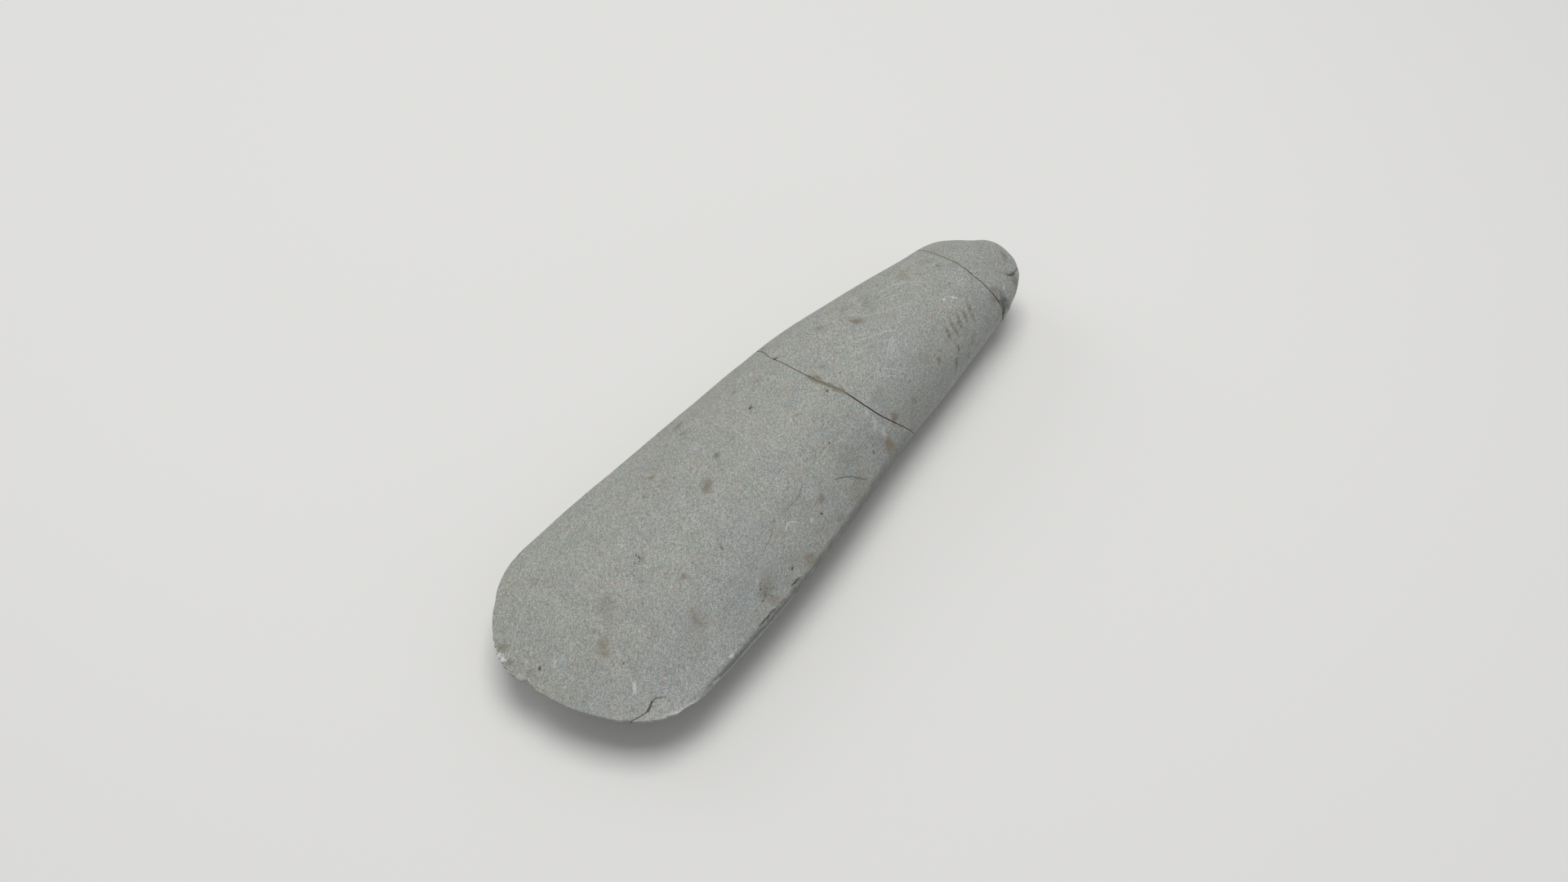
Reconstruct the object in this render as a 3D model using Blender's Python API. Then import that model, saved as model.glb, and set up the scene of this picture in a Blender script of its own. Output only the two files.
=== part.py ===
"""A neolithic polished stone axe head that broke across twice and was glued together again.

The head lies on its lower face. +X runs from the cutting edge to the butt, +Y to the far side and +Z up.
Every fragment is a block of stations (along), columns (across) and levels (up), bent to the stone's form.
Sizes are in metres. Places along and across the stone are shares of its own length and width.
"""
import bpy
import numpy as np

# Driving sizes
LENGTH = 0.172
BLADE_WIDTH = 0.0575
THICKNESS = 0.0284
EDGE_THICKNESS = 0.0008
SIDE_FACET = 0.0031
BUTT_SIDE = 0.0052
BELLY_DEPTH = 0.0011
GLUE_GAP = 0.0003

# Outline: (share of the length, half width as a share of the blade's width)
FAR_SIDE = ((0.0, 0.345), (0.10, 0.478), (0.20, 0.485), (0.32, 0.464), (0.46, 0.443),
            (0.60, 0.414), (0.74, 0.307), (0.86, 0.226), (0.94, 0.206), (1.0, 0.167))
NEAR_SIDE = ((0.0, 0.557), (0.10, 0.512), (0.20, 0.503), (0.32, 0.483), (0.46, 0.440),
             (0.60, 0.380), (0.74, 0.331), (0.86, 0.289), (0.94, 0.273), (1.0, 0.285))

# Cutting edge: how far its two corners sweep back, as shares of the blade's width, and how square they are
EDGE_SWEEP_FAR = 0.729
EDGE_SWEEP_NEAR = 0.344
EDGE_POWER_FAR = 3.57
EDGE_POWER_NEAR = 1.96
EDGE_SKEW = 0.041
EDGE_TIP = 0.26

# Butt end: (place across from near -1 to far 1, set back as a share of the length); its far side is cut obliquely
BUTT_CURVE = ((-1.0, 0.074), (-0.85, 0.034), (-0.65, 0.013), (-0.4, 0.002), (-0.1, 0.0),
              (0.2, 0.022), (0.5, 0.033), (0.8, 0.061), (1.0, 0.088))
BUTT_TAPER = 0.16
BUTT_END = 0.20
BUTT_ROUND = 2.2

# Half thickness along the middle, from the cutting edge, as a share of the stone's half thickness
THICKNESS_CURVE = ((0.0, 0.028), (0.03, 0.162), (0.08, 0.345), (0.16, 0.556), (0.28, 0.760), (0.42, 0.915),
                   (0.58, 1.0), (0.74, 1.0), (0.88, 0.887), (1.0, 0.74))

# Cross-section: crisp side facets by the blade turn into rounded sides at the butt
ARRIS_CURVE = ((0.0, 1.0), (0.36, 1.0), (0.50, 1.35), (0.62, 1.9), (0.80, 2.2), (1.0, 2.2))
CROWN_CURVE = ((0.0, 1.9), (0.36, 1.9), (0.50, 2.0), (0.62, 2.2), (0.80, 2.3), (1.0, 2.3))
FACET_CURVE = ((0.0, 0.0), (0.05, 0.35), (0.15, 0.8), (0.30, 1.0), (0.45, 0.95), (0.60, 1.0), (1.0, 1.0))
BUTT_SIDE_START = 0.45
BUTT_SIDE_FULL = 0.75
FACET_LIMIT = 0.9

# Breaks: place along at mid height as a share of the length, then lean and slant of the broken face
BLADE_BREAK = 0.616
BLADE_BREAK_LEAN = 0.58
BLADE_BREAK_SLANT = 0.06
BUTT_BREAK = 0.904
BUTT_BREAK_LEAN = 0.25
BUTT_BREAK_SLANT = 0.0
BREAK_WAVE = 0.0004
BREAK_WAVE_LENGTH = 0.021
BREAK_WAVE_START = 1.0

# Chips out of the cutting edge: (place across from near -1 to far 1, half length across, depth in metres)
EDGE_CHIPS = ((-0.61, 0.06, 0.0006), (0.13, 0.10, 0.0008), (0.70, 0.05, 0.0005))

# Shallow flake scars on the upper face: (share of the length, place across, radius and depth in metres)
FLAKE_SCARS = ((0.515, -0.80, 0.010, 0.0006), (0.098, -0.88, 0.008, 0.0008), (0.950, -0.84, 0.006, 0.0007))

# Mesh: columns across, levels up and stations along each fragment, which crowd towards the edge and the butt
COLUMNS = 28
LEVELS = 4
BLADE_STATIONS = 25
BLADE_CROWDING = 1.25
MIDDLE_STATIONS = 14
BUTT_STATIONS = 9
BUTT_CROWDING = 1.6
SETTLE_STEPS = 24
SHARP_ANGLE = 0.6

STONE = {"blade_fragment": ((0.290, 0.305, 0.292, 1.0), 0.62),
         "middle_fragment": ((0.285, 0.300, 0.285, 1.0), 0.64),
         "butt_fragment": ((0.280, 0.292, 0.286, 1.0), 0.66)}


def clear_scene():
    for thing in list(bpy.data.objects):
        bpy.data.objects.remove(thing, do_unlink=True)


def through(points, place):
    """A smooth curve through the points, read at each place."""
    places = np.array([point[0] for point in points])
    values = np.array([point[1] for point in points])
    spans = np.diff(places)
    slopes = np.diff(values) / spans
    tangents = np.empty(len(values))
    tangents[0] = slopes[0]
    tangents[-1] = slopes[-1]
    tangents[1:-1] = (slopes[:-1] * spans[1:] + slopes[1:] * spans[:-1]) / (spans[:-1] + spans[1:])
    place = np.clip(place, places[0], places[-1])
    index = np.clip(np.searchsorted(places, place, side="right") - 1, 0, len(spans) - 1)
    t = (place - places[index]) / spans[index]
    start = values[index] * (2 * t**3 - 3 * t**2 + 1) + values[index + 1] * (3 * t**2 - 2 * t**3)
    bend = tangents[index] * (t**3 - 2 * t**2 + t) + tangents[index + 1] * (t**3 - t**2)
    return start + bend * spans[index]


def whole_edge(across):
    """How far back the cutting edge lay at each place across before it was chipped."""
    sweep = np.where(across > 0, EDGE_SWEEP_FAR, EDGE_SWEEP_NEAR) * BLADE_WIDTH
    power = np.where(across > 0, EDGE_POWER_FAR, EDGE_POWER_NEAR)
    corner = 1 - (1 - np.clip(np.abs(across), 0, 1)**power)**(1 / power)
    return sweep * corner + EDGE_SKEW * BLADE_WIDTH * (EDGE_TIP - across)


def chipped_edge(across):
    back = whole_edge(across)
    for place, half_length, depth in EDGE_CHIPS:
        back = back + depth * np.exp(-((across - place) / half_length)**4)
    return back


def butt_end(across):
    return LENGTH * (1 - through(BUTT_CURVE, across))


def width_at(x, across):
    """The y of a point from its place across, -1 at the near side and 1 at the far side."""
    far = through(FAR_SIDE, x / LENGTH)
    near = through(NEAR_SIDE, x / LENGTH)
    return across * np.where(across > 0, far, near) * BLADE_WIDTH


def half_height(x, across):
    """Half the stone's thickness at a point of its plan."""
    along = np.clip((x - whole_edge(across)) / LENGTH, 0, 1)
    to_butt = np.clip((butt_end(across) - x) / LENGTH / BUTT_TAPER, 0, 1)
    rounding = BUTT_END + (1 - BUTT_END) * (1 - (1 - to_butt)**BUTT_ROUND)**(1 / BUTT_ROUND)
    middle = through(THICKNESS_CURVE, along) * THICKNESS / 2 * rounding
    butt_share = np.clip((along - BUTT_SIDE_START) / (BUTT_SIDE_FULL - BUTT_SIDE_START), 0, 1)
    side = SIDE_FACET + (BUTT_SIDE - SIDE_FACET) * butt_share**2 * (3 - 2 * butt_share)
    side = (EDGE_THICKNESS + (side - EDGE_THICKNESS) * through(FACET_CURVE, along)) / 2 * rounding
    side = np.minimum(side, FACET_LIMIT * middle)
    crown = through(CROWN_CURVE, along)
    arris = through(ARRIS_CURVE, along)
    rise = np.clip(1 - np.abs(across)**crown, 0, 1)**(1 / arris)
    return side + (middle - side) * rise


def upper_face(x, across):
    height = half_height(x, across)
    y = width_at(x, across)
    for share, place, radius, depth in FLAKE_SCARS:
        scar_x = share * LENGTH
        away = ((x - scar_x)**2 + (y - width_at(scar_x, np.array(place)))**2) / radius**2
        height = height - np.minimum(depth, FACET_LIMIT * height / 2) * np.exp(-away)
    return height


def lower_face(x, across):
    """The lower face, with the small flat that the head lies on."""
    return -np.minimum(half_height(x, across), THICKNESS / 2 - BELLY_DEPTH)


def edge_place(across, y, z):
    return chipped_edge(across)


def butt_place(across, y, z):
    return butt_end(across)


def break_place(share, lean, slant, side):
    """A broken face: an almost flat plane that leans, with low waves. side is which way the gap goes."""
    def place(across, y, z):
        turn = 2 * np.pi / BREAK_WAVE_LENGTH
        wave = BREAK_WAVE * np.sin(turn * y) * np.cos(turn * z / 2 + BREAK_WAVE_START)
        return share * LENGTH - lean * z - slant * y + wave + side * GLUE_GAP / 2
    return place


def settled(start, end, share, across, face):
    """Points of a face at a share of the way from the start place to the end place."""
    x = np.full(across.shape, LENGTH / 2)
    for _ in range(SETTLE_STEPS):
        y = width_at(x, across)
        z = face(x, across)
        x = (1 - share) * start(across, y, z) + share * end(across, y, z)
    return y, z


def block(start, end, shares):
    """The bent block of points, indexed by station, column and level."""
    columns = -np.cos(np.linspace(0, np.pi, COLUMNS + 1))
    share, across = np.meshgrid(shares, columns, indexing="ij")
    top_y, top_z = settled(start, end, share, across, upper_face)
    low_y, low_z = settled(start, end, share, across, lower_face)
    points = np.empty(share.shape + (LEVELS + 1, 3))
    for level in range(LEVELS + 1):
        up = level / LEVELS
        y = low_y + (top_y - low_y) * up
        z = low_z + (top_z - low_z) * up
        x = (1 - share) * start(across, y, z) + share * end(across, y, z)
        points[:, :, level] = np.stack((x, y, z), axis=-1)
    return points


def skin_faces(shape):
    """The six sides of a block as quads that face out."""
    stations, columns, levels = shape

    def number(i, j, k):
        return (i * columns + j) * levels + k

    faces = []
    for i in range(stations - 1):
        for j in range(columns - 1):
            for k, order in ((0, (0, 1, 2, 3)), (levels - 1, (3, 2, 1, 0))):
                ring = (number(i, j, k), number(i, j + 1, k), number(i + 1, j + 1, k), number(i + 1, j, k))
                faces.append([ring[corner] for corner in order])
    for i in range(stations - 1):
        for k in range(levels - 1):
            for j, order in ((0, (3, 2, 1, 0)), (columns - 1, (0, 1, 2, 3))):
                ring = (number(i, j, k), number(i, j, k + 1), number(i + 1, j, k + 1), number(i + 1, j, k))
                faces.append([ring[corner] for corner in order])
    for j in range(columns - 1):
        for k in range(levels - 1):
            for i, order in ((0, (0, 1, 2, 3)), (stations - 1, (3, 2, 1, 0))):
                ring = (number(i, j, k), number(i, j, k + 1), number(i, j + 1, k + 1), number(i, j + 1, k))
                faces.append([ring[corner] for corner in order])
    return faces


def stone_material(name):
    colour, roughness = STONE[name]
    material = bpy.data.materials.new(name + "_stone")
    material.use_nodes = True
    shader = material.node_tree.nodes["Principled BSDF"]
    shader.inputs["Base Color"].default_value = colour
    shader.inputs["Roughness"].default_value = roughness
    shader.inputs["Metallic"].default_value = 0.0
    material.diffuse_color = colour
    return material


def fragment(name, points, holder):
    """One broken piece of the stone as a closed mesh object."""
    faces = skin_faces(points.shape[:3])
    used = sorted({number for face in faces for number in face})
    renumber = {old: new for new, old in enumerate(used)}
    corners = points.reshape(-1, 3)[used]
    mesh = bpy.data.meshes.new(name)
    mesh.from_pydata(corners.tolist(), [], [[renumber[old] for old in face] for face in faces])
    mesh.materials.append(stone_material(name))
    mesh.shade_smooth()
    mesh.set_sharp_from_angle(angle=SHARP_ANGLE)
    piece = bpy.data.objects.new(name, mesh)
    piece.parent = holder
    bpy.context.scene.collection.objects.link(piece)


def build():
    clear_scene()
    blade_break = (BLADE_BREAK, BLADE_BREAK_LEAN, BLADE_BREAK_SLANT)
    butt_break = (BUTT_BREAK, BUTT_BREAK_LEAN, BUTT_BREAK_SLANT)
    blade_shares = np.linspace(0, 1, BLADE_STATIONS + 1)**BLADE_CROWDING
    middle_shares = np.linspace(0, 1, MIDDLE_STATIONS + 1)
    butt_shares = 1 - np.linspace(1, 0, BUTT_STATIONS + 1)**BUTT_CROWDING
    pieces = {
        "blade_fragment": block(edge_place, break_place(*blade_break, -1), blade_shares),
        "middle_fragment": block(break_place(*blade_break, 1), break_place(*butt_break, -1), middle_shares),
        "butt_fragment": block(break_place(*butt_break, 1), butt_place, butt_shares),
    }
    everything = np.concatenate([points.reshape(-1, 3) for points in pieces.values()])
    low, high = everything.min(axis=0), everything.max(axis=0)
    holder = bpy.data.objects.new("axe_head", None)
    holder.location = (-(low[0] + high[0]) / 2, -(low[1] + high[1]) / 2, -low[2])
    bpy.context.scene.collection.objects.link(holder)
    for name, points in pieces.items():
        fragment(name, points, holder)


build()
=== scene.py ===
"""The looks of the mended neolithic axe head: fine relief, stone, stains, painted shade and old glue, on a
pale floor.
"""
import math
import bpy
import numpy as np
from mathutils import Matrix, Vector


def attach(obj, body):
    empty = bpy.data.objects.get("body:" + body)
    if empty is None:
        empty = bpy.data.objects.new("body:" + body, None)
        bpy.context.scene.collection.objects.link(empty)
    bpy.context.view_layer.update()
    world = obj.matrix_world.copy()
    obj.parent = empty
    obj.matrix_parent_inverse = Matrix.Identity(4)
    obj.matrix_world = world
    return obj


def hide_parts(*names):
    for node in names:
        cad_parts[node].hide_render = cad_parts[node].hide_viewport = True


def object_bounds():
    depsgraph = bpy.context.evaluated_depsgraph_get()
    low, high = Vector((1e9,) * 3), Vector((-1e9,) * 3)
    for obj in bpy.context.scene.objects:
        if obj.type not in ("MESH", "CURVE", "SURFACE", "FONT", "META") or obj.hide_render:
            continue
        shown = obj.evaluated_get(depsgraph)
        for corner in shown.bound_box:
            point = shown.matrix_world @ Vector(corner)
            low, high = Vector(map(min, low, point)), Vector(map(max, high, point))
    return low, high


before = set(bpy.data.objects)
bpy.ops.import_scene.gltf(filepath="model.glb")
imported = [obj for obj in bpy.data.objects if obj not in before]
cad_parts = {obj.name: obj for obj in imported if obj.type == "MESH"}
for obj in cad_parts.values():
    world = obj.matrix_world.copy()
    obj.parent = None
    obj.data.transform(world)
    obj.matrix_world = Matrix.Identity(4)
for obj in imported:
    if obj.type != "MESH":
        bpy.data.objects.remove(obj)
CAD_LOW, CAD_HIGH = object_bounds()
MM = 0.001

# Driving sizes, as shares of the frame's box
LENGTH_SHARE = 0.998854
WIDTH_SHARE = 1.005656
THICKNESS_SHARE = 1.032790
LENGTH = LENGTH_SHARE * (CAD_HIGH.x - CAD_LOW.x)
BLADE_WIDTH = WIDTH_SHARE * (CAD_HIGH.y - CAD_LOW.y)
THICKNESS = THICKNESS_SHARE * (CAD_HIGH.z - CAD_LOW.z)
EDGE_THICKNESS = 0.8 * MM
SIDE_FACET = 3.1 * MM
BUTT_SIDE = 5.2 * MM
BELLY_DEPTH = 1.1 * MM

# Outline: (share of the length, half width as a share of the blade's width)
FAR_SIDE = (
    (0.0, 0.345), (0.10, 0.478), (0.20, 0.485), (0.32, 0.464), (0.46, 0.443), (0.60, 0.414), (0.74, 0.307),
    (0.86, 0.226), (0.94, 0.213), (1.0, 0.178))
NEAR_SIDE = (
    (0.0, 0.557), (0.10, 0.512), (0.20, 0.503), (0.32, 0.483), (0.46, 0.440), (0.60, 0.380), (0.74, 0.331),
    (0.86, 0.289), (0.94, 0.273), (1.0, 0.285))

# Cutting edge: how far its two corners sweep back, as shares of the blade's width, and how square they are
EDGE_SWEEP_FAR = 0.729
EDGE_SWEEP_NEAR = 0.344
EDGE_POWER_FAR = 3.57
EDGE_POWER_NEAR = 1.96
EDGE_SKEW = 0.041
EDGE_TIP = 0.26

# Butt end: (place across from near -1 to far 1, set back as a share of the length)
BUTT_CURVE = (
    (-1.0, 0.074), (-0.85, 0.034), (-0.65, 0.013), (-0.4, 0.002), (-0.1, 0.0), (0.2, 0.017), (0.5, 0.032),
    (0.8, 0.052), (1.0, 0.078))
BUTT_TAPER = 0.16
BUTT_END = 0.20
BUTT_ROUND = 2.2

# Half thickness along the middle, from the cutting edge, as a share of the stone's half thickness
THICKNESS_CURVE = (
    (0.0, 0.028), (0.03, 0.162), (0.08, 0.345), (0.16, 0.556), (0.28, 0.760), (0.42, 0.915), (0.58, 1.0),
    (0.74, 1.0), (0.88, 0.887), (1.0, 0.74))

# Cross-section: crisp side facets by the blade turn into rounded sides at the butt
ARRIS_CURVE = ((0.0, 1.0), (0.36, 1.0), (0.50, 1.35), (0.62, 1.9), (0.80, 2.2), (1.0, 2.2))
CROWN_CURVE = ((0.0, 1.9), (0.36, 1.9), (0.50, 2.0), (0.62, 2.2), (0.80, 2.3), (1.0, 2.3))
FACET_CURVE = ((0.0, 0.0), (0.05, 0.35), (0.15, 0.8), (0.30, 1.0), (0.45, 0.95), (0.60, 1.0), (1.0, 1.0))
BUTT_SIDE_START = 0.45
BUTT_SIDE_FULL = 0.75
FACET_LIMIT = 0.9

# Breaks: place along at mid height as a share of the length, then lean and slant of the broken face
BLADE_BREAK = (0.616, 0.58, 0.06)
BUTT_BREAK = (0.904, 0.25, 0.0)
BREAK_WAVE = 0.4 * MM
BREAK_WAVE_LENGTH = 21 * MM
BREAK_WAVE_START = 1.0

# How wide the crack at each break is: (place across, width), in millimetres
BLADE_GAPS = (
    (-21.5, 0.26), (-19.0, 0.32), (-9.0, 0.34), (-7.0, 0.36), (-2.0, 0.34), (2.0, 0.28), (9.0, 0.22),
    (21.0, 0.20))
BUTT_GAPS = ((-16.0, 0.32), (-13.0, 0.28), (-10.5, 0.24), (-8.5, 0.28), (-6.0, 0.26), (13.0, 0.24))

# How far the fine crack runs off its plain break, towards the butt: (place across, shift), in millimetres
BLADE_BENDS = (
    (-22.6, 1.6), (-22.0, 2.0), (-19.5, 1.65), (-15.6, 1.3), (-12.6, 1.25), (-9.6, 1.25), (-7.2, 0.95),
    (-4.8, 0.6), (-1.4, 0.4), (2.2, 0.6), (5.0, 0.65), (8.9, 0.4), (13.0, 0.0), (16.4, 0.0), (17.8, 0.5))
BUTT_BENDS = (
    (-16.0, 0.0), (-14.0, -0.2), (-11.5, -0.5), (-8.5, -0.7), (-5.0, -0.5), (-1.0, -0.1), (4.0, 0.0),
    (13.0, 0.0))

# Chips out of the edge: (place across from near -1 to far 1, half length across, depth in millimetres)
EDGE_CHIPS = (
    (-0.965, 0.028, 1.1), (-0.90, 0.02, 0.3), (-0.66, 0.022, 0.38), (-0.52, 0.016, 0.16),
    (-0.42, 0.09, 0.14), (-0.29, 0.014, 0.14), (-0.07, 0.018, 0.12), (0.07, 0.045, 0.55),
    (0.15, 0.040, 0.95), (0.30, 0.012, 0.14), (0.42, 0.025, 0.32), (0.50, 0.014, 0.32),
    (0.565, 0.012, 0.45), (0.625, 0.010, 0.46), (0.675, 0.016, 0.68), (0.725, 0.018, 0.52),
    (0.79, 0.012, 0.3), (0.91, 0.015, 0.55))
CHIP_SHARPNESS = 3
EDGE_FRET = 0.16
EDGE_FRET_PLACE = (0.56, 0.26)

# Shallow flake scars on the upface: (share of the length, place across, radius and depth in millimetres)
FLAKE_SCARS = ((0.515, -0.80, 10.0, 0.6), (0.098, -0.88, 8.0, 0.8), (0.950, -0.84, 6.0, 0.7))

# Mesh: columns across, levels up and stations along, and the steps in which a point settles on its face
COLUMNS = 240
LEVELS = 12
STATIONS = {"blade_fragment": 270, "middle_fragment": 160, "butt_fragment": 72}
ROUGH_STEPS = 10
FINE_STEPS = 4
SHARP_ANGLE = math.radians(38)

# The plain form that finds the frame's place: columns across and stations along
PLAIN_COLUMNS = 28
PLAIN_STATIONS = 48

# Relief of the upper face. Places are millimetres from the cutting edge and from the middle line.

# Flakes: (along, across, half length, half width, turn in degrees, depth); they end in a crisp rim
FLAKES = (
    (16.6, -27.4, 4.6, 2.3, -25, 0.16), (13.2, -25.2, 2.2, 1.1, -50, 0.18), (1.6, 3.0, 1.6, 2.0, 85, 0.26),
    (2.6, 14.9, 1.5, 1.2, 60, 0.22), (1.6, 12.4, 1.1, 0.9, 60, 0.2), (1.0, 8.9, 1.0, 0.8, 70, 0.16),
    (6.6, -21.3, 1.5, 1.0, -30, 0.24), (9.6, 21.8, 1.2, 0.9, 60, 0.2), (57.0, -27.3, 1.4, 0.6, 2, 0.30),
    (45.8, -28.2, 2.6, 0.5, 1, 0.28), (51.0, -27.9, 1.3, 0.4, 2, 0.25), (34.0, -28.8, 1.7, 0.5, 0, 0.25),
    (66.5, -27.0, 1.5, 0.4, 4, 0.22), (76.0, -26.3, 1.2, 0.35, 6, 0.18), (27.0, -29.0, 1.3, 0.4, -4, 0.2),
    (165.0, -13.6, 2.8, 1.3, 4, 0.34), (168.6, -9.6, 1.4, 0.8, 60, 0.16), (40.5, 27.2, 1.6, 0.5, -3, 0.25),
    (61.0, 25.7, 1.2, 0.4, -5, 0.2), (22.5, 27.6, 1.0, 0.4, 3, 0.2))

# Soft hollows, in the same terms, and pits: (along, across, radius, depth)
HOLLOWS = (
    (88.0, -19.0, 6.5, 3.6, -12, 0.16), (17.0, -24.5, 9.0, 4.5, -20, 0.12),
    (160.5, -11.5, 4.5, 2.5, 10, 0.14), (70.0, -17.0, 8.0, 3.5, 10, 0.10), (49.6, -24.0, 3.0, 2.2, 0, 0.08),
    (125.0, 9.0, 8.0, 5.0, 20, 0.07))
PITS = (
    (82.7, 7.7, 0.6, 0.28), (36.3, 1.1, 0.55, 0.25), (58.7, -24.5, 0.5, 0.22), (73.6, -21.1, 0.4, 0.2),
    (4.3, 2.1, 0.5, 0.2), (16.1, -11.9, 0.4, 0.2), (50.0, -11.2, 0.5, 0.16), (165.7, -5.9, 0.4, 0.2),
    (49.5, -24.2, 0.9, 0.08), (59.4, 1.2, 1.4, 0.05), (133.4, -17.2, 0.5, 0.2), (97.5, -3.8, 0.6, 0.3))

# Grooves: a line of places, then half width and depth; they are cracks and the rims of flakes
EDGE_CRACK = (
    (16.3, -22.7), (15.8, -22.3), (15.2, -21.8), (14.4, -21.7), (13.2, -22.1), (11.7, -22.5), (9.6, -21.9),
    (8.2, -21.3))
BUTT_CHIP_LINE = ((160.4, -10.8), (162.2, -12.0), (163.6, -12.5), (165.5, -12.3), (168.4, -11.6))
GROOVES = ((EDGE_CRACK, 0.35, 0.2), (BUTT_CHIP_LINE, 0.45, 0.22))

# Lip chips along the two breaks: (place across, half length, reach, depth), each for one side of a crack
BLADE_LIP = (
    (13.0, 0.8, 0.7, 0.25), (-0.9, 2.1, 0.55, 0.30), (-3.9, 0.7, 1.1, 0.34), (-6.0, 1.7, 0.4, 0.28),
    (-13.8, 1.7, 0.35, 0.18), (-17.5, 1.2, 0.3, 0.18), (-20.8, 0.8, 0.5, 0.28), (20.8, 0.8, 0.7, 0.3),
    (5.5, 1.0, 0.22, 0.12))
MIDDLE_LIP = (
    (-0.4, 1.2, 0.9, 0.30), (-3.2, 1.0, 0.4, 0.24), (-5.9, 1.4, 0.6, 0.28), (9.3, 0.9, 0.3, 0.14),
    (-11.5, 1.5, 0.2, 0.10), (20.0, 0.8, 0.4, 0.24), (15.2, 0.7, 0.3, 0.14))
MIDDLE_END_LIP = ((-7.8, 1.6, 0.25, 0.12), (-11.6, 1.2, 0.3, 0.15), (2.5, 1.2, 0.18, 0.08))
BUTT_LIP = ((-8.2, 1.2, 0.25, 0.12), (-13.6, 1.5, 0.5, 0.25), (6.0, 1.0, 0.2, 0.08))
LIP_WEAR = 0.04
LIP_REACH = 0.3

# Each crack with how wide it is, and the lips that a piece has: (crack, chips, side of the crack)
BLADE_CRACK = (BLADE_BREAK, BLADE_GAPS, BLADE_BENDS)
BUTT_CRACK = (BUTT_BREAK, BUTT_GAPS, BUTT_BENDS)
LIPS = {
    "blade_fragment": ((BLADE_CRACK, BLADE_LIP, -1),),
    "middle_fragment": ((BLADE_CRACK, MIDDLE_LIP, 1), (BUTT_CRACK, MIDDLE_END_LIP, -1)),
    "butt_fragment": ((BUTT_CRACK, BUTT_LIP, 1),),
    "blade_break_glue": ((BLADE_CRACK, BLADE_LIP, -1), (BLADE_CRACK, MIDDLE_LIP, 1)),
    "butt_break_glue": ((BUTT_CRACK, MIDDLE_END_LIP, -1), (BUTT_CRACK, BUTT_LIP, 1)),
}

# How far the fill lies below the surface: (place across, depth), in millimetres
FILL_DEPTHS = {
    "blade_break_glue": ((-21.5, 0.30), (-9.0, 0.34), (-7.5, 0.14), (1.0, 0.12), (4.0, 0.10), (21.0, 0.12)),
    "butt_break_glue": ((-16.0, 0.3), (-8.0, 0.22), (-5.0, 0.10), (13.0, 0.10)),
}
FILL_SHARE = 0.9
FILL_FOOT = 0.12 * MM

# Wear of the crisp arrises: depth, how far it reaches in, and the stretch along the head that it covers
NEAR_ARRIS = (0.12, 0.40, (8.0, 22.0, 84.0, 100.0))
FAR_ARRIS = (0.10, 0.40, (8.0, 20.0, 80.0, 96.0))
LOWER_ARRIS = (0.10, 0.45, (8.0, 20.0, 84.0, 100.0))

# The faint ground bevel by the far corner: a point on its ridge, the way it faces, its slope and its size
BEVEL_POINT = (2.0, 10.4)
BEVEL_FACING = (-0.333, 0.943)
BEVEL_SLOPE = 0.035
BEVEL_WIDTH = 6.0
BEVEL_END = 45.0

# The chipped hollow in the butt fragment's near side, beside the crack: middle, lean, half sizes and depth
RECESS_PLACE = (156.2, 2.6)
RECESS_LEAN = -0.33
RECESS_SIZE = (1.8, 3.4)
RECESS_DEPTH = 0.6
RECESS_SIDE = -12.5

# Where the butt fragment is glued a little proud: along, reach, how far, and where it starts across
PROUD_PLACE = 156.5
PROUD_REACH = 4.5
PROUD = 0.35
PROUD_SIDE = (11.5, 15.0)

# Unevenness: (strength, swell in millimetres) of each size; the fret's are thousandths of the half width
UPPER_SWELLS = ((0.05, 17), (0.025, 7), (0.011, 2.6), (0.007, 1.1))
LOWER_SWELLS = ((0.06, 15), (0.03, 6), (0.015, 2))
BREAK_SWELLS = ((0.13, 3.3), (0.05, 1.1))
FRET_SWELLS = ((1.0, 50), (0.7, 21))
FLAKE_SWELLS = ((0.3, 1.3), (0.2, 0.6))
ARRIS_SWELLS = ((0.35, 2.3), (0.3, 0.8))
STAIN_SWELLS = ((0.45, 1.7), (0.2, 0.8))
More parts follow.
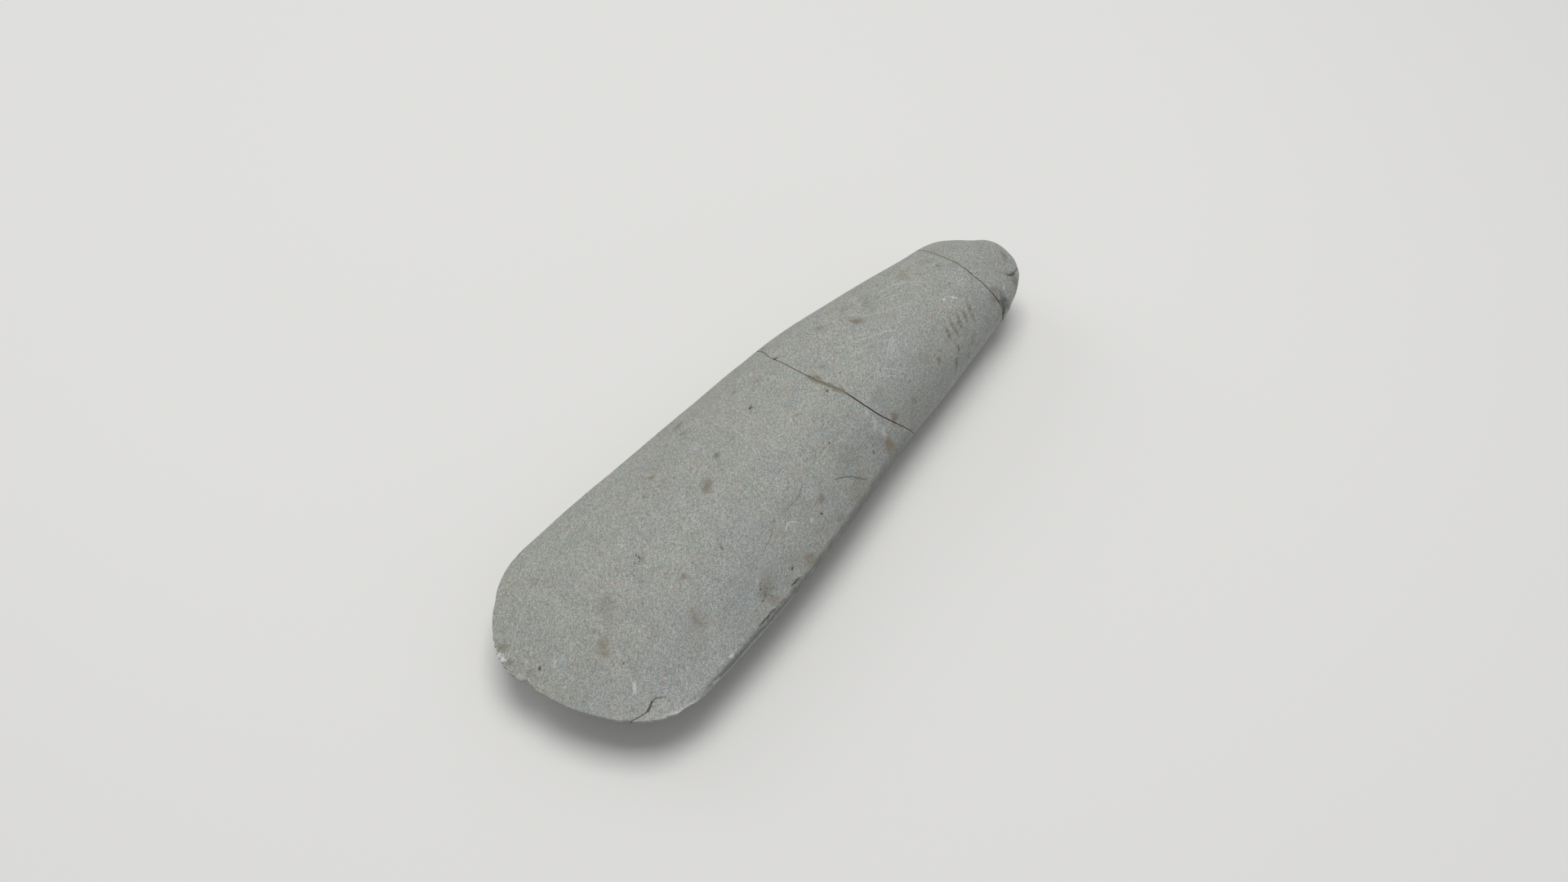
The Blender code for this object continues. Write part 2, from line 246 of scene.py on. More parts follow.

# Stains on the upper face, with grey marks that are partly stains and partly painted shade in its hollows and
# towards the near side: (along, across, half length, half width, turn in degrees, strength)
BROWN_MARKS = (
    (119.3, 4.1, 1.7, 1.3, -50, 0.66), (112.1, 10.1, 1.0, 0.7, 0, 0.4), (102.5, 1.8, 0.9, 0.7, 0, 0.45),
    (90.7, 12.3, 0.9, 0.8, 0, 0.35), (85.1, 14.8, 1.0, 0.7, 0, 0.4), (59.4, 1.2, 2.0, 1.6, 30, 0.64),
    (72.5, 21.6, 1.9, 0.8, 10, 0.5), (69.5, 18.0, 0.9, 0.6, 0, 0.4), (65.1, 19.1, 0.9, 0.6, 0, 0.4),
    (49.6, 11.9, 0.8, 0.6, 0, 0.3), (72.9, 5.2, 0.8, 0.6, 0, 0.35), (140.0, 5.0, 2.4, 1.4, 20, 0.28),
    (76.3, -19.1, 1.3, 0.8, 40, 0.6), (112.9, -18.6, 0.8, 0.6, 0, 0.4), (121.5, 9.5, 1.6, 0.8, 30, 0.2),
    (16.0, -6.1, 2.6, 1.7, 50, 0.5), (17.5, -2.1, 0.8, 0.5, 20, 0.4), (3.1, 13.3, 2.2, 1.0, -50, 0.45),
    (1.6, 9.3, 1.2, 0.8, -60, 0.4), (77.1, -24.3, 1.0, 0.7, 0, 0.45), (98.9, -0.4, 1.7, 0.5, 88, 0.7),
    (98.9, -3.9, 1.5, 0.6, 85, 0.8), (100.2, -6.6, 1.4, 0.4, 78, 0.7), (101.3, 19.8, 1.5, 0.4, 60, 0.4),
    (152.9, -13.9, 2.0, 1.2, 30, 0.4), (164.0, -13.4, 1.6, 0.7, 0, 0.6), (52.0, -23.0, 3.2, 1.8, 20, 0.3),
    (34.0, -18.0, 3.5, 1.6, 50, 0.2), (100.4, -24.0, 2.5, 1.2, 20, 0.35), (86.0, -22.5, 4.0, 2.0, 30, 0.2))
ORANGE_MARKS = (
    (105.4, -18.3, 1.2, 0.8, 30, 0.85), (100.4, -20.7, 1.7, 1.2, 20, 0.6),
    (63.4, -25.7, 1.7, 1.2, 10, 0.62), (55.3, 14.6, 0.9, 0.6, 0, 0.6), (39.3, -9.2, 0.9, 0.6, 20, 0.6),
    (167.0, -7.7, 1.5, 1.0, 60, 0.6), (165.4, -8.7, 0.9, 0.5, 60, 0.4), (98.9, -0.9, 0.9, 0.35, 80, 0.5),
    (36.7, 0.4, 0.7, 0.5, 0, 0.7), (125.8, -16.7, 0.8, 0.6, 0, 0.6), (34.0, -16.6, 2.6, 0.5, 70, 0.35),
    (49.9, -26.0, 1.5, 0.9, 0, 0.4), (147.4, 4.7, 2.2, 1.4, 0, 0.22), (87.4, -2.8, 0.9, 0.6, 0, 0.3),
    (26.0, -12.0, 2.5, 1.2, 40, 0.18), (83.2, 7.4, 0.5, 0.4, 0, 0.5), (152.9, -14.6, 1.0, 0.6, 0, 0.3))
# Grey marks: grey stains, and painted shade in the hollows and towards the near side of the face
SHADE_AND_GREY_STAIN_MARKS = (
    (67.3, 4.5, 1.0, 0.8, 0, 0.65), (23.2, -0.8, 3.0, 2.0, 30, 0.35), (126.0, 6.0, 3.0, 1.2, 40, 0.2),
    (89.5, -17.4, 4.5, 2.6, -10, 0.25), (156.0, -14.9, 1.8, 1.3, -50, 0.5),
    (49.8, -24.0, 2.6, 1.9, 10, 0.45), (104.9, -13.1, 2.5, 1.4, 10, 0.25),
    (122.4, -14.2, 2.2, 1.4, 0, 0.25), (60.0, -23.5, 4.5, 1.3, -35, 0.25),
    (30.0, -20.0, 6.0, 3.0, 10, 0.16), (148.0, 0.3, 0.9, 0.8, 0, 0.45), (45.0, -20.0, 7.0, 3.0, 5, 0.14))

# The same on the near side, with a height above the middle: (along, across, height, half sizes, strength)
SIDE_MARKS = (
    (140.5, -17.0, 5.5, 1.3, 1.0, 1.2, 0.7), (143.3, -17.1, 0.2, 1.8, 1.0, 1.0, 0.6),
    (138.0, -17.8, 0.6, 1.2, 1.0, 1.6, 0.6), (138.8, -17.5, 4.0, 1.6, 1.0, 0.8, 0.55),
    (147.0, -16.6, 1.0, 2.6, 1.0, 1.2, 0.35), (132.0, -18.6, 2.5, 2.2, 1.0, 1.0, 0.35))

# Pale bruises and scuffs, and small dark pits
PALE_MARKS = (
    (70.5, -20.6, 0.5, 0.4, 0, 0.45), (33.3, -27.9, 0.6, 0.4, 0, 0.6), (13.9, -17.0, 1.2, 0.40, 40, 0.6),
    (13.2, -17.7, 0.7, 0.22, 50, 0.5), (92.0, 15.4, 0.5, 0.25, 20, 0.5),
    (100.2, -16.2, 1.2, 0.55, 60, 0.32), (100.6, -18.7, 0.9, 0.5, 50, 0.30),
    (100.1, -13.6, 0.7, 0.35, 60, 0.30), (99.2, -16.8, 0.6, 0.4, 40, 0.25),
    (142.0, -8.9, 1.05, 0.17, -51, 0.9), (139.6, -7.7, 0.4, 0.3, 0, 0.8), (1.6, 12.9, 1.2, 0.45, -62, 1.0),
    (1.3, 11.0, 1.0, 0.42, -72, 1.0), (2.3, 14.3, 0.6, 0.22, -55, 0.5), (7.2, 0.3, 1.1, 0.2, 43, 0.35),
    (15.4, -26.9, 1.9, 0.3, -35, 0.35), (158.1, -13.7, 0.8, 0.2, 20, 0.6), (36.3, 6.4, 0.5, 0.4, 0, 0.35),
    (114.0, 2.0, 0.4, 0.25, 0, 0.5), (50.4, -21.0, 0.5, 0.3, 0, 0.25), (43.5, -1.8, 1.2, 0.12, -60, 0.4))
DARK_MARKS = (
    (82.7, 7.7, 0.45, 0.35, 0, 0.95), (36.2, 1.2, 0.65, 0.22, 65, 0.95), (58.7, -24.5, 0.5, 0.3, 20, 0.9),
    (73.6, -21.1, 0.4, 0.25, 0, 0.8), (4.4, 2.2, 0.5, 0.3, 60, 0.95), (16.1, -11.9, 0.35, 0.25, 0, 0.75),
    (50.0, -11.2, 0.55, 0.25, 60, 0.6), (165.7, -5.9, 0.3, 0.25, 0, 0.6), (133.4, -17.2, 0.6, 0.3, 30, 0.6),
    (131.2, -18.3, 0.5, 0.3, 0, 0.6), (98.7, 13.0, 0.6, 0.35, 0, 0.8), (49.5, -22.9, 0.25, 0.2, 0, 0.7),
    (49.3, -24.3, 0.30, 0.20, 30, 0.75), (50.7, -23.8, 0.24, 0.18, 0, 0.65),
    (47.9, -24.8, 0.28, 0.20, 0, 0.75), (50.2, -25.4, 0.22, 0.16, 0, 0.6),
    (50.4, -22.0, 0.20, 0.16, 0, 0.55), (52.0, -24.5, 0.22, 0.16, 0, 0.55),
    (48.0, -23.0, 0.22, 0.18, 0, 0.5), (36.3, 2.3, 0.25, 0.2, 0, 0.6), (34.5, 1.0, 0.25, 0.2, 0, 0.6),
    (170.2, -3.6, 0.35, 0.25, 40, 0.7), (103.5, -2.9, 0.3, 0.22, 0, 0.7), (87.5, -12.3, 0.28, 0.22, 0, 0.6),
    (95.2, -19.8, 0.35, 0.25, 0, 0.7), (111.0, -9.3, 0.28, 0.2, 0, 0.6), (153.8, -8.1, 0.35, 0.28, 0, 0.6),
    (158.6, -7.0, 0.3, 0.22, 0, 0.5), (145.0, -5.5, 0.35, 0.25, 0, 0.5), (141.4, -5.4, 0.35, 0.2, 0, 0.45),
    (97.5, -3.8, 0.5, 0.35, 0, 0.7), (49.5, 11.8, 0.3, 0.2, 0, 0.5), (43.5, 6.1, 0.25, 0.2, 0, 0.5))

# Lines: (places, half width, strength); cracks are dark, and scratches are pale and finer
CRACK_LINES = (
    (EDGE_CRACK[:4], 0.13, 0.75), (EDGE_CRACK[3:6], 0.24, 0.95), (EDGE_CRACK[5:], 0.14, 0.8),
    (BUTT_CHIP_LINE[:2], 0.13, 0.4), (BUTT_CHIP_LINE[1:4], 0.26, 0.85), (BUTT_CHIP_LINE[3:], 0.16, 0.6),
    (((57.5, -26.75), (57.1, -26.70), (56.9, -26.85), (56.4, -26.82)), 0.15, 0.95),
    (((47.9, -27.63), (46.9, -27.50), (46.4, -27.78), (45.2, -27.70), (43.7, -27.80)), 0.14, 0.9),
    (((82.9, -18.5), (84.3, -19.0), (86.3, -20.0), (88.7, -21.9)), 0.16, 0.55),
    (((74.3, -14.6), (72.2, -15.6), (68.4, -15.65)), 0.12, 0.35),
    (((63.1, -15.5), (60.9, -16.8), (56.2, -18.15)), 0.12, 0.35),
    (((51.2, 14.6), (52.2, 12.4), (53.4, 11.0)), 0.14, 0.25), (((154.9, -15.3), (156.4, -15.9)), 0.2, 0.6))
SCRATCH_LINES = (
    (((64.6, -18.0), (65.3, -17.7), (66.2, -17.8), (66.7, -18.2)), 0.13, 0.75),
    (((110.5, 2.0), (114.1, 0.1), (117.9, -2.0), (121.5, -3.8)), 0.10, 0.45),
    (((131.8, 5.7), (135.1, 4.8), (138.3, 2.6), (140.8, -0.4)), 0.10, 0.45),
    (((131.4, 2.6), (134.3, 0.9), (136.8, -1.5)), 0.09, 0.4),
    (((114.5, -8.6), (117.0, -7.2), (119.4, -5.9)), 0.09, 0.4),
    (((115.9, -9.0), (118.1, -7.6), (120.2, -6.0)), 0.09, 0.35),
    (((117.1, -10.4), (118.8, -8.6), (120.5, -6.3)), 0.09, 0.35),
    (((107.0, -8.6), (110.2, -8.9), (112.5, -10.1), (114.1, -11.9)), 0.10, 0.4),
    (((106.7, -10.1), (109.9, -10.6), (112.3, -12.3)), 0.09, 0.35),
    (((122.3, 3.3), (126.6, 0.3), (131.0, -1.5)), 0.09, 0.4),
    (((109.4, 14.8), (107.9, 15.4), (106.4, 13.0)), 0.08, 0.3),
    (((36.2, 22.1), (24.8, 18.0), (13.3, 15.2), (2.0, 9.8)), 0.16, 0.22),
    (((141.3, -9.0), (140.3, -9.5), (139.2, -10.1)), 0.10, 0.3))

# How far past a dot or line its painted values still hold, in millimetres: a little over the mesh's spacing
LAYER_REACH = 0.6

# A distance beyond everything on the head, in millimetres
FAR_OFF = 1000.0

# Painted shade on the near side facet below its arris: (place along, strength) and (place along, height of
# its lower border)
NEAR_SIDE_SHADE = (
    (0.0, 0.0), (10.0, 0.0), (17.0, 0.9), (46.0, 0.9), (58.0, 0.75), (98.0, 0.65), (112.0, 0.25),
    (172.0, 0.2))
NEAR_SIDE_SHADE_FOOT = ((0.0, -0.1), (44.0, -0.1), (58.0, -1.4), (172.0, -1.4))
NEAR_SIDE_SHADE_REACH = 0.75

# Painted shade on the face beside each side: strength, reach in from the outline and stretch along the head
NEAR_RIM_SHADE = (0.22, 6.0, (24.0, 50.0, 105.0, 150.0))
FAR_RIM_SHADE = (0.07, 8.0, (55.0, 75.0, 138.0, 158.0))

# The olive fill along the chipped stretch of the blade's break: ends across, half width and strength
OLIVE_STRETCH = (-8.5, -6.5, 1.5, 3.5)
OLIVE_WIDTH = 0.62
OLIVE_STRENGTH = 0.85

# The pale rim behind a chip in the edge: reach, how it grows with the chip, and the chips that have one
CHIP_RIM = 0.15
CHIP_RIM_GROWTH = 1.3
CHIP_RIM_START = 0.15
CHIP_RIM_FULL = 0.3

# The wear in millimetres that bruises a break's lip fully
FULL_LIP_BRUISE = 0.12

# Fine scratch sets: (along, across, half length, half width, turn of the lines, strength)
SCRATCH_SETS = (
    (128.0, 6.0, 12.0, 8.0, -28, 0.9), (113.0, 2.0, 9.0, 10.0, -62, 0.7), (118.0, -7.0, 10.0, 7.0, 52, 0.8),
    (72.0, 2.0, 40.0, 22.0, 40, 0.55), (40.0, -4.0, 40.0, 26.0, 14, 0.45),
    (150.0, -3.0, 18.0, 14.0, 66, 0.5))
SCRATCH_SIZE = (7.0, 0.24, 7.0)
SCRATCH_SPACING = 7.0
SCRATCH_EDGE = 0.7
SCRATCH_BEND_NOISE = (0.045, 1.0)
SCRATCH_BEND = (22.0, 22.0, 0.0)
SCRATCH_NOISE = (1.0, 2.0, 0.5)
SCRATCH_SPAN = (0.61, 0.74)

# Worn strokes of old ink: where the row starts, its direction, pitch, half length, half width and slant
INK_START = (133.0, -13.9)
INK_TURN = 3.0
INK_COUNT = 5
INK_PITCH = 2.55
INK_LENGTH = 1.75
INK_WIDTH = 0.58
INK_SLANT = 64.0
INK_SLANT_STEP = 9.0
INK_EDGE = 0.45
INK_NOISE = (1.3, 3.0, 0.6)
INK_SPAN = (0.36, 0.56)

# Noise of the stone: (scale per millimetre, detail, roughness, distortion)
BROAD_NOISE = (0.085, 4.0, 0.6, 0.4)
CLOUD_NOISE = (0.22, 4.0, 0.6, 0.4)
GRAIN_NOISE = (1.0, 3.0, 0.65)
FINE_NOISE = (3.4, 2.0, 0.75)
TINGE_NOISE = (0.9, 3.0, 0.7)
BLOTCH_NOISE = (0.38, 3.0, 0.6, 0.3)
WOBBLE_NOISE = (1.1, 3.0, 0.6)
RAGGED_NOISE = (2.2, 3.0, 0.7)
PATCHY_NOISE = (1.4, 4.0, 0.7)
DULL_NOISE = (0.5, 4.0, 0.6)
WOBBLE = (0.9, 0.9, 0.0)
GROUND_TURN = math.radians(39.0)
GROUND_SIZE = (0.9, 0.40, 0.6)

# How each noise or place counts: (low, high, value at low, value at high)
BROAD_SPAN = (0.34, 0.66)
DRIFT_SPAN = (-24.0, 14.0)
CLOUD_SPAN = (0.3, 0.7, 0.93, 1.07)
GRAIN_SPAN = (0.3, 0.7, 0.76, 1.24)
FINE_SPAN = (0.3, 0.7, 0.50, 1.50)
TINGE_SPAN = (0.3, 0.7)
BLOTCH_SPAN = (0.55, 0.72, 0.0, 0.30)
RAGGED_SPAN = (0.3, 0.7, 0.6, 1.5)
PATCHY_SPAN = (0.25, 0.6, 0.7, 1.2)
DULL_SPAN = (0.3, 0.7, 0.54, 0.72)
UPPER_SPAN = (12.2, 12.8)
TINGE_SHARE = 0.29

# The glue's patches and grain, and how strong and high the bumps of each material are
GLUE_NOISE = (0.6, 4.0, 0.6)
GLUE_SPAN = (0.35, 0.65)
GLUE_GRAIN = (3.0, 3.0, 0.6)
STONE_BUMP = (0.35, 0.12 * MM)
GLUE_BUMP = (0.4, 0.1 * MM)

# Specks: scale per millimetre, how the distance from a speck's middle counts, and the share of bare cells
SPECK_SCALE = 0.8
SPECK_SPAN = (0.30, 0.10)
NO_DARK_SPECK = 0.88
NO_PALE_SPECK = 0.92
UNDER_SPOT_SCALE = 0.13
UNDER_SPOT_SPAN = (0.20, 0.10)
NO_UNDER_SPOT = 0.55

# Colours
COOL_STONE = (0.280, 0.292, 0.298, 1)
WARM_STONE = (0.311, 0.313, 0.277, 1)
COOL_TINGE = (0.22, 0.32, 0.30, 1)
WARM_TINGE = (0.36, 0.29, 0.24, 1)
BLOTCH = (0.275, 0.245, 0.190, 1)
DARK_SPECK = (0.12, 0.125, 0.11, 1)
PALE_SPECK = (0.46, 0.47, 0.45, 1)
UNDER_SPOT = (0.18, 0.150, 0.105, 1)
FAINT_SCRATCH = (0.43, 0.445, 0.43, 1)
SCRATCH = (0.52, 0.535, 0.52, 1)
# Grey of the grey stains and of the painted shade
GREY_STAIN_AND_PAINTED_SHADE = (0.135, 0.140, 0.130, 1)
BROWN_STAIN = (0.168, 0.148, 0.106, 1)
ORANGE_STAIN = (0.190, 0.150, 0.112, 1)
LIP_BRUISE = (0.42, 0.43, 0.40, 1)
CHIP_BRUISE = (0.50, 0.50, 0.46, 1)
# Near black painted into the chipped hollow beside the butt's crack
RECESS_DARK = (0.085, 0.080, 0.068, 1)
INK = (0.160, 0.132, 0.094, 1)
PIT = (0.060, 0.060, 0.048, 1)
BRUISE = (0.60, 0.61, 0.59, 1)
DARK_GLUE = (0.040, 0.037, 0.030, 1)
BROWN_GLUE = (0.080, 0.072, 0.055, 1)
OLIVE_GLUE = (0.175, 0.160, 0.115, 1)
FLOOR_PAINT = (0.74, 0.735, 0.72, 1)

# How strongly each mark covers what lies under it
DARK_SPECK_COVER = 0.42
PALE_SPECK_COVER = 0.35
UNDER_SPOT_COVER = 0.5
FAINT_SCRATCH_COVER = 0.8
LIP_BRUISE_COVER = 0.30
CHIP_BRUISE_COVER = 0.25
RECESS_DARK_COVER = 0.75
INK_COVER = 0.78
OLIVE_GLUE_COVER = 0.8

# The stretch of the blade's break where the glue shows olive: middle, half sizes, turn and softness
OLIVE_PATCH = (98.8, -3.0, 4.0, 4.9, 0.0, 0.15)

# Lights: the direction that each shines from, width in metres, power in watts and tint
LIGHTS = {
    "key_light": ((0.10, 0.08, 1.0), 0.6, 6.5, (1.0, 0.995, 0.98)),
    "far_fill": ((-0.1, 0.87, 0.5), 0.5, 0.9, (0.98, 0.99, 1.0)),
    "near_fill": ((0.1, -1.0, 0.15), 0.5, 0.5, (0.97, 0.985, 1.0)),
}
LIGHT_DISTANCE = 1.0
WORLD_TINT = (0.97, 0.98, 1.0, 1)
WORLD_STRENGTH = 0.38
FLOOR_SIZE = 3.0

# Camera: the photograph's viewing angle, in degrees, and its picture
CAMERA_TARGET = (1.55 * MM, 1.98 * MM, 13.1 * MM)
CAMERA_DISTANCE = 398.4 * MM
CAMERA_AZIMUTH = -50.96
CAMERA_ELEVATION = 52.0
CAMERA_HEIGHT_ANGLE = 30.0
SENSOR_WIDTH = 36.0
PICTURE_SHAPE = 16 / 9


def through(points, place):
    """A smooth curve through the points, read at each place."""
    places, values = np.array(points).T
    spans = np.diff(places)
    slopes = np.diff(values) / spans
    tangents = np.empty(len(values))
    tangents[0] = slopes[0]
    tangents[-1] = slopes[-1]
    tangents[1:-1] = (slopes[:-1] * spans[1:] + slopes[1:] * spans[:-1]) / (spans[:-1] + spans[1:])
    place = np.clip(place, places[0], places[-1])
    index = np.clip(np.searchsorted(places, place, side="right") - 1, 0, len(spans) - 1)
    t = (place - places[index]) / spans[index]
    start = values[index] * (2 * t**3 - 3 * t**2 + 1) + values[index + 1] * (3 * t**2 - 2 * t**3)
    bend = tangents[index] * (t**3 - 2 * t**2 + t) + tangents[index + 1] * (t**3 - t**2)
    return start + bend * spans[index]


def smooth_step(value, low, high):
    share = np.clip((value - low) / (high - low), 0, 1)
    return share * share * (3 - 2 * share)


def stretch(x, stops):
    """1 between the two middle stops and 0 outside the outer ones, which are in millimetres."""
    return smooth_step(x / MM, stops[0], stops[1]) * (1 - smooth_step(x / MM, stops[2], stops[3]))


def waves(x, y, size, seed):
    """Smooth noise from -1 to 1 over the plan, about one swell for each size."""
    cells = 128
    grid = np.random.default_rng(seed).random((cells, cells)) * 2 - 1
    across, up = x / size + cells / 2, y / size + cells / 2
    column, row = np.floor(across).astype(int), np.floor(up).astype(int)
    part_x = smooth_step(across - column, 0, 1)
    part_y = smooth_step(up - row, 0, 1)
    column, next_column = column % cells, (column + 1) % cells
    row, next_row = row % cells, (row + 1) % cells
    near = grid[row, column] * (1 - part_x) + grid[row, next_column] * part_x
    far = grid[next_row, column] * (1 - part_x) + grid[next_row, next_column] * part_x
    return near * (1 - part_y) + far * part_y


def swells(x, y, parts, seed):
    """Several sizes of smooth noise together. The sizes are in millimetres."""
    return sum(strength * waves(x, y, size * MM, seed + number)
               for number, (strength, size) in enumerate(parts))


def whole_edge(across):
    """How far back the cutting edge lay at each place across before it was chipped."""
    sweep = np.where(across > 0, EDGE_SWEEP_FAR, EDGE_SWEEP_NEAR) * BLADE_WIDTH
    power = np.where(across > 0, EDGE_POWER_FAR, EDGE_POWER_NEAR)
    corner = 1 - (1 - np.clip(np.abs(across), 0, 1)**power)**(1 / power)
    return sweep * corner + EDGE_SKEW * BLADE_WIDTH * (EDGE_TIP - across)


def fine_chips(across):
    """How deep the chips and the finer fraying cut back from the whole edge."""
    depth = across * 0
    for place, half_length, deep in EDGE_CHIPS:
        depth = depth + deep * MM * np.exp(-np.abs((across - place) / half_length)**CHIP_SHARPNESS)
    fret = 0.25 + np.exp(-((across - EDGE_FRET_PLACE[0]) / EDGE_FRET_PLACE[1])**4)
    return depth + EDGE_FRET * MM * fret * swells(across, across * 0, FRET_SWELLS, 5)


def whole_edge_spot(across, y, z):
    return whole_edge(across)


def fine_edge_spot(across, y, z):
    return whole_edge(across) + fine_chips(across)


def butt_spot(across, y, z):
    return LENGTH * (1 - through(BUTT_CURVE, across))


def width_at(x, across):
    far = through(FAR_SIDE, x / LENGTH)
    near = through(NEAR_SIDE, x / LENGTH)
    return across * np.where(across > 0, far, near) * BLADE_WIDTH


def half_height(x, across):
    """Half the stone's thickness at a point of its plan."""
    along = np.clip((x - whole_edge(across)) / LENGTH, 0, 1)
    to_butt = np.clip((butt_spot(across, 0, 0) - x) / LENGTH / BUTT_TAPER, 0, 1)
    rounding = BUTT_END + (1 - BUTT_END) * (1 - (1 - to_butt)**BUTT_ROUND)**(1 / BUTT_ROUND)
    middle = through(THICKNESS_CURVE, along) * THICKNESS / 2 * rounding
    side = SIDE_FACET + (BUTT_SIDE - SIDE_FACET) * smooth_step(along, BUTT_SIDE_START, BUTT_SIDE_FULL)
    side = (EDGE_THICKNESS + (side - EDGE_THICKNESS) * through(FACET_CURVE, along)) / 2 * rounding
    side = np.minimum(side, FACET_LIMIT * middle)
    crown = through(CROWN_CURVE, along)
    arris = through(ARRIS_CURVE, along)
    rise = np.clip(1 - np.abs(across)**crown, 0, 1)**(1 / arris)
    return side + (middle - side) * rise


def broken_face(crack, side):
    """A leaning, uneven broken face. side is 1 on the butt's side of the crack and -1 on the blade's."""
    (share, lean, slant), gaps, bends = crack

    def spot(across, y, z):
        turn = 2 * np.pi / BREAK_WAVE_LENGTH
        wave = BREAK_WAVE * np.sin(turn * y) * np.cos(turn * z / 2 + BREAK_WAVE_START)
        middle = share * LENGTH - lean * z - slant * y + wave
        shift = swells(y, z, BREAK_SWELLS, 61) + through(bends, y / MM) + side * through(gaps, y / MM) / 2
        return middle + shift * MM
    return spot


def scarred(x, y, height):
    """The height less the broad flake scars."""
    for share, place, radius, depth in FLAKE_SCARS:
        scar_x = share * LENGTH
        away = ((x - scar_x)**2 + (y - width_at(scar_x, np.array(place)))**2) / (radius * MM)**2
        height = height - np.minimum(depth * MM, FACET_LIMIT * height / 2) * np.exp(-away)
    return height


def oval_place(x, y, along, across, half_length, half_width, turn):
    """Each point's place along and across an oval, from -1 to 1 inside it."""
    angle = math.radians(turn)
    dx, dy = x / MM - along, y / MM - across
    return ((dx * math.cos(angle) + dy * math.sin(angle)) / half_length,
            (dy * math.cos(angle) - dx * math.sin(angle)) / half_width)


def oval_distance(x, y, *oval):
    """0 at the middle of an oval and 1 at its rim."""
    return np.hypot(*oval_place(x, y, *oval))


def from_segment(x, y, start, end):
    """How many millimetres each point lies beside a segment's line, signed, and from the segment."""
    (x0, y0), (x1, y1) = start, end
    length = math.hypot(x1 - x0, y1 - y0)
    along = ((x / MM - x0) * (x1 - x0) + (y / MM - y0) * (y1 - y0)) / length
    beside = ((x / MM - x0) * (y1 - y0) - (y / MM - y0) * (x1 - x0)) / length
    past = np.maximum(np.maximum(-along, along - length), 0)
    return beside, np.hypot(beside, past)


def line_distance(x, y, places):
    """How many millimetres each point lies from a line of places."""
    return np.min([from_segment(x, y, start, end)[1] for start, end in zip(places, places[1:])], axis=0)


def lip_wear(x, y, z, crack, chips, side):
    """How much the edge of a break is worn down at each point beside it, in millimetres."""
    away = np.abs(x - broken_face(crack, side)(0, y, z)) / MM
    ragged = 0.5 + 0.5 * waves(y, x * 0, 0.9 * MM, 22 + side)
    cut = LIP_WEAR * (0.4 + ragged) * np.clip(1 - away / (LIP_REACH * (0.5 + ragged)), 0, 1)
    uneven = 1 + 0.4 * waves(y, x, 0.8 * MM, 23)
    for spot, half_length, reach, depth in chips:
        end = np.clip(1 - ((y / MM - spot) / half_length)**2, 0, 1)
        share = np.clip(1 - away / (reach * uneven * (0.3 + 0.7 * end)), 0, 1)
        cut = np.maximum(cut, depth * end**0.5 * share)
    return cut


def arris_wear(x, across, wear, side, seed):
    """How much a crisp arris is worn down, in millimetres."""
    depth, reach, stops = wear
    away = np.abs(width_at(x, across) - width_at(x, across * 0 + side)) / MM
    ragged = 0.65 + swells(x, across * 0, ARRIS_SWELLS, seed)
    return depth * ragged * stretch(x, stops) * np.exp(-(away / (reach * (0.6 + 0.4 * ragged)))**2)


def edge_chamfer(x, across):
    """How much is gone from the face just behind each chip in the cutting edge, in millimetres."""
    deep = np.clip(fine_chips(across), 0, None)
    behind = np.clip(x - fine_edge_spot(across, 0, 0), 0, None)
    return 0.55 * deep / MM * np.exp(-behind / (1.2 * deep + 0.1 * MM))


def marks_relief(x, y):
    """How deep the flakes, hollows, pits, grooves and the faint bevel are, in millimetres."""
    uneven = 1 + swells(x, y, FLAKE_SWELLS, 11)
    cut = x * 0
    for *oval, depth in FLAKES:
        cut = cut + depth * np.clip(1 - oval_distance(x, y, *oval)**2 * uneven, 0, 1)**0.7
    for *oval, depth in HOLLOWS:
        cut = cut + depth * np.clip(1 - oval_distance(x, y, *oval)**2, 0, 1)**2
    for along, across, radius, depth in PITS:
        cut = cut + depth * np.exp(-oval_distance(x, y, along, across, radius, radius, 0)**3)
    for places, half_width, depth in GROOVES:
        cut = cut + depth * np.clip(1 - line_distance(x, y, places) / half_width, 0, 1)
    beyond = (x / MM - BEVEL_POINT[0]) * BEVEL_FACING[0] + (y / MM - BEVEL_POINT[1]) * BEVEL_FACING[1]
    return cut + BEVEL_SLOPE * np.where(x < BEVEL_END * MM, np.clip(beyond, 0, BEVEL_WIDTH), 0)


def fine_upper(name):
    """The upper face of a piece, with its relief and wear."""

    def face(x, across):
        y = width_at(x, across)
        height = scarred(x, y, half_height(x, across))
        cut = swells(x, y, UPPER_SWELLS, 1) + marks_relief(x, y) + edge_chamfer(x, across)
        cut = cut + arris_wear(x, across, NEAR_ARRIS, -1, 51) + arris_wear(x, across, FAR_ARRIS, 1, 53)
        worn = x * 0
        for crack, chips, side in LIPS[name]:
            worn = np.maximum(worn, lip_wear(x, y, height, crack, chips, side))
        return height - np.minimum((cut + worn) * MM, 0.75 * height)
    return face


def fine_lower(x, across):
    """The plainer lower face: gentle unevenness, and the small flat that the head lies on."""
    height = half_height(x, across)
    uneven = swells(x, width_at(x, across), LOWER_SWELLS, 31)
    height = height - np.clip(uneven * MM, -0.25 * height, 0.25 * height)
    worn = edge_chamfer(x, across) * 0.8
    worn = worn + arris_wear(x, across, LOWER_ARRIS, -1, 55) + arris_wear(x, across, LOWER_ARRIS, 1, 57)
    height = height - np.minimum(worn * MM, 0.7 * height)
    return -np.minimum(height, THICKNESS / 2 - BELLY_DEPTH)


def settled(start, end, share, across, face, up):
    """Points of a face at a share of the way from start to end. up is 1, or -1 for a lower face."""
    x = np.full(across.shape, LENGTH / 2)
    for step in range(ROUGH_STEPS + FINE_STEPS):
        y = width_at(x, across)
        z = up * half_height(x, across) if step < ROUGH_STEPS else face(x, across)
        x = (1 - share) * start(across, y, z) + share * end(across, y, z)
    return y, z


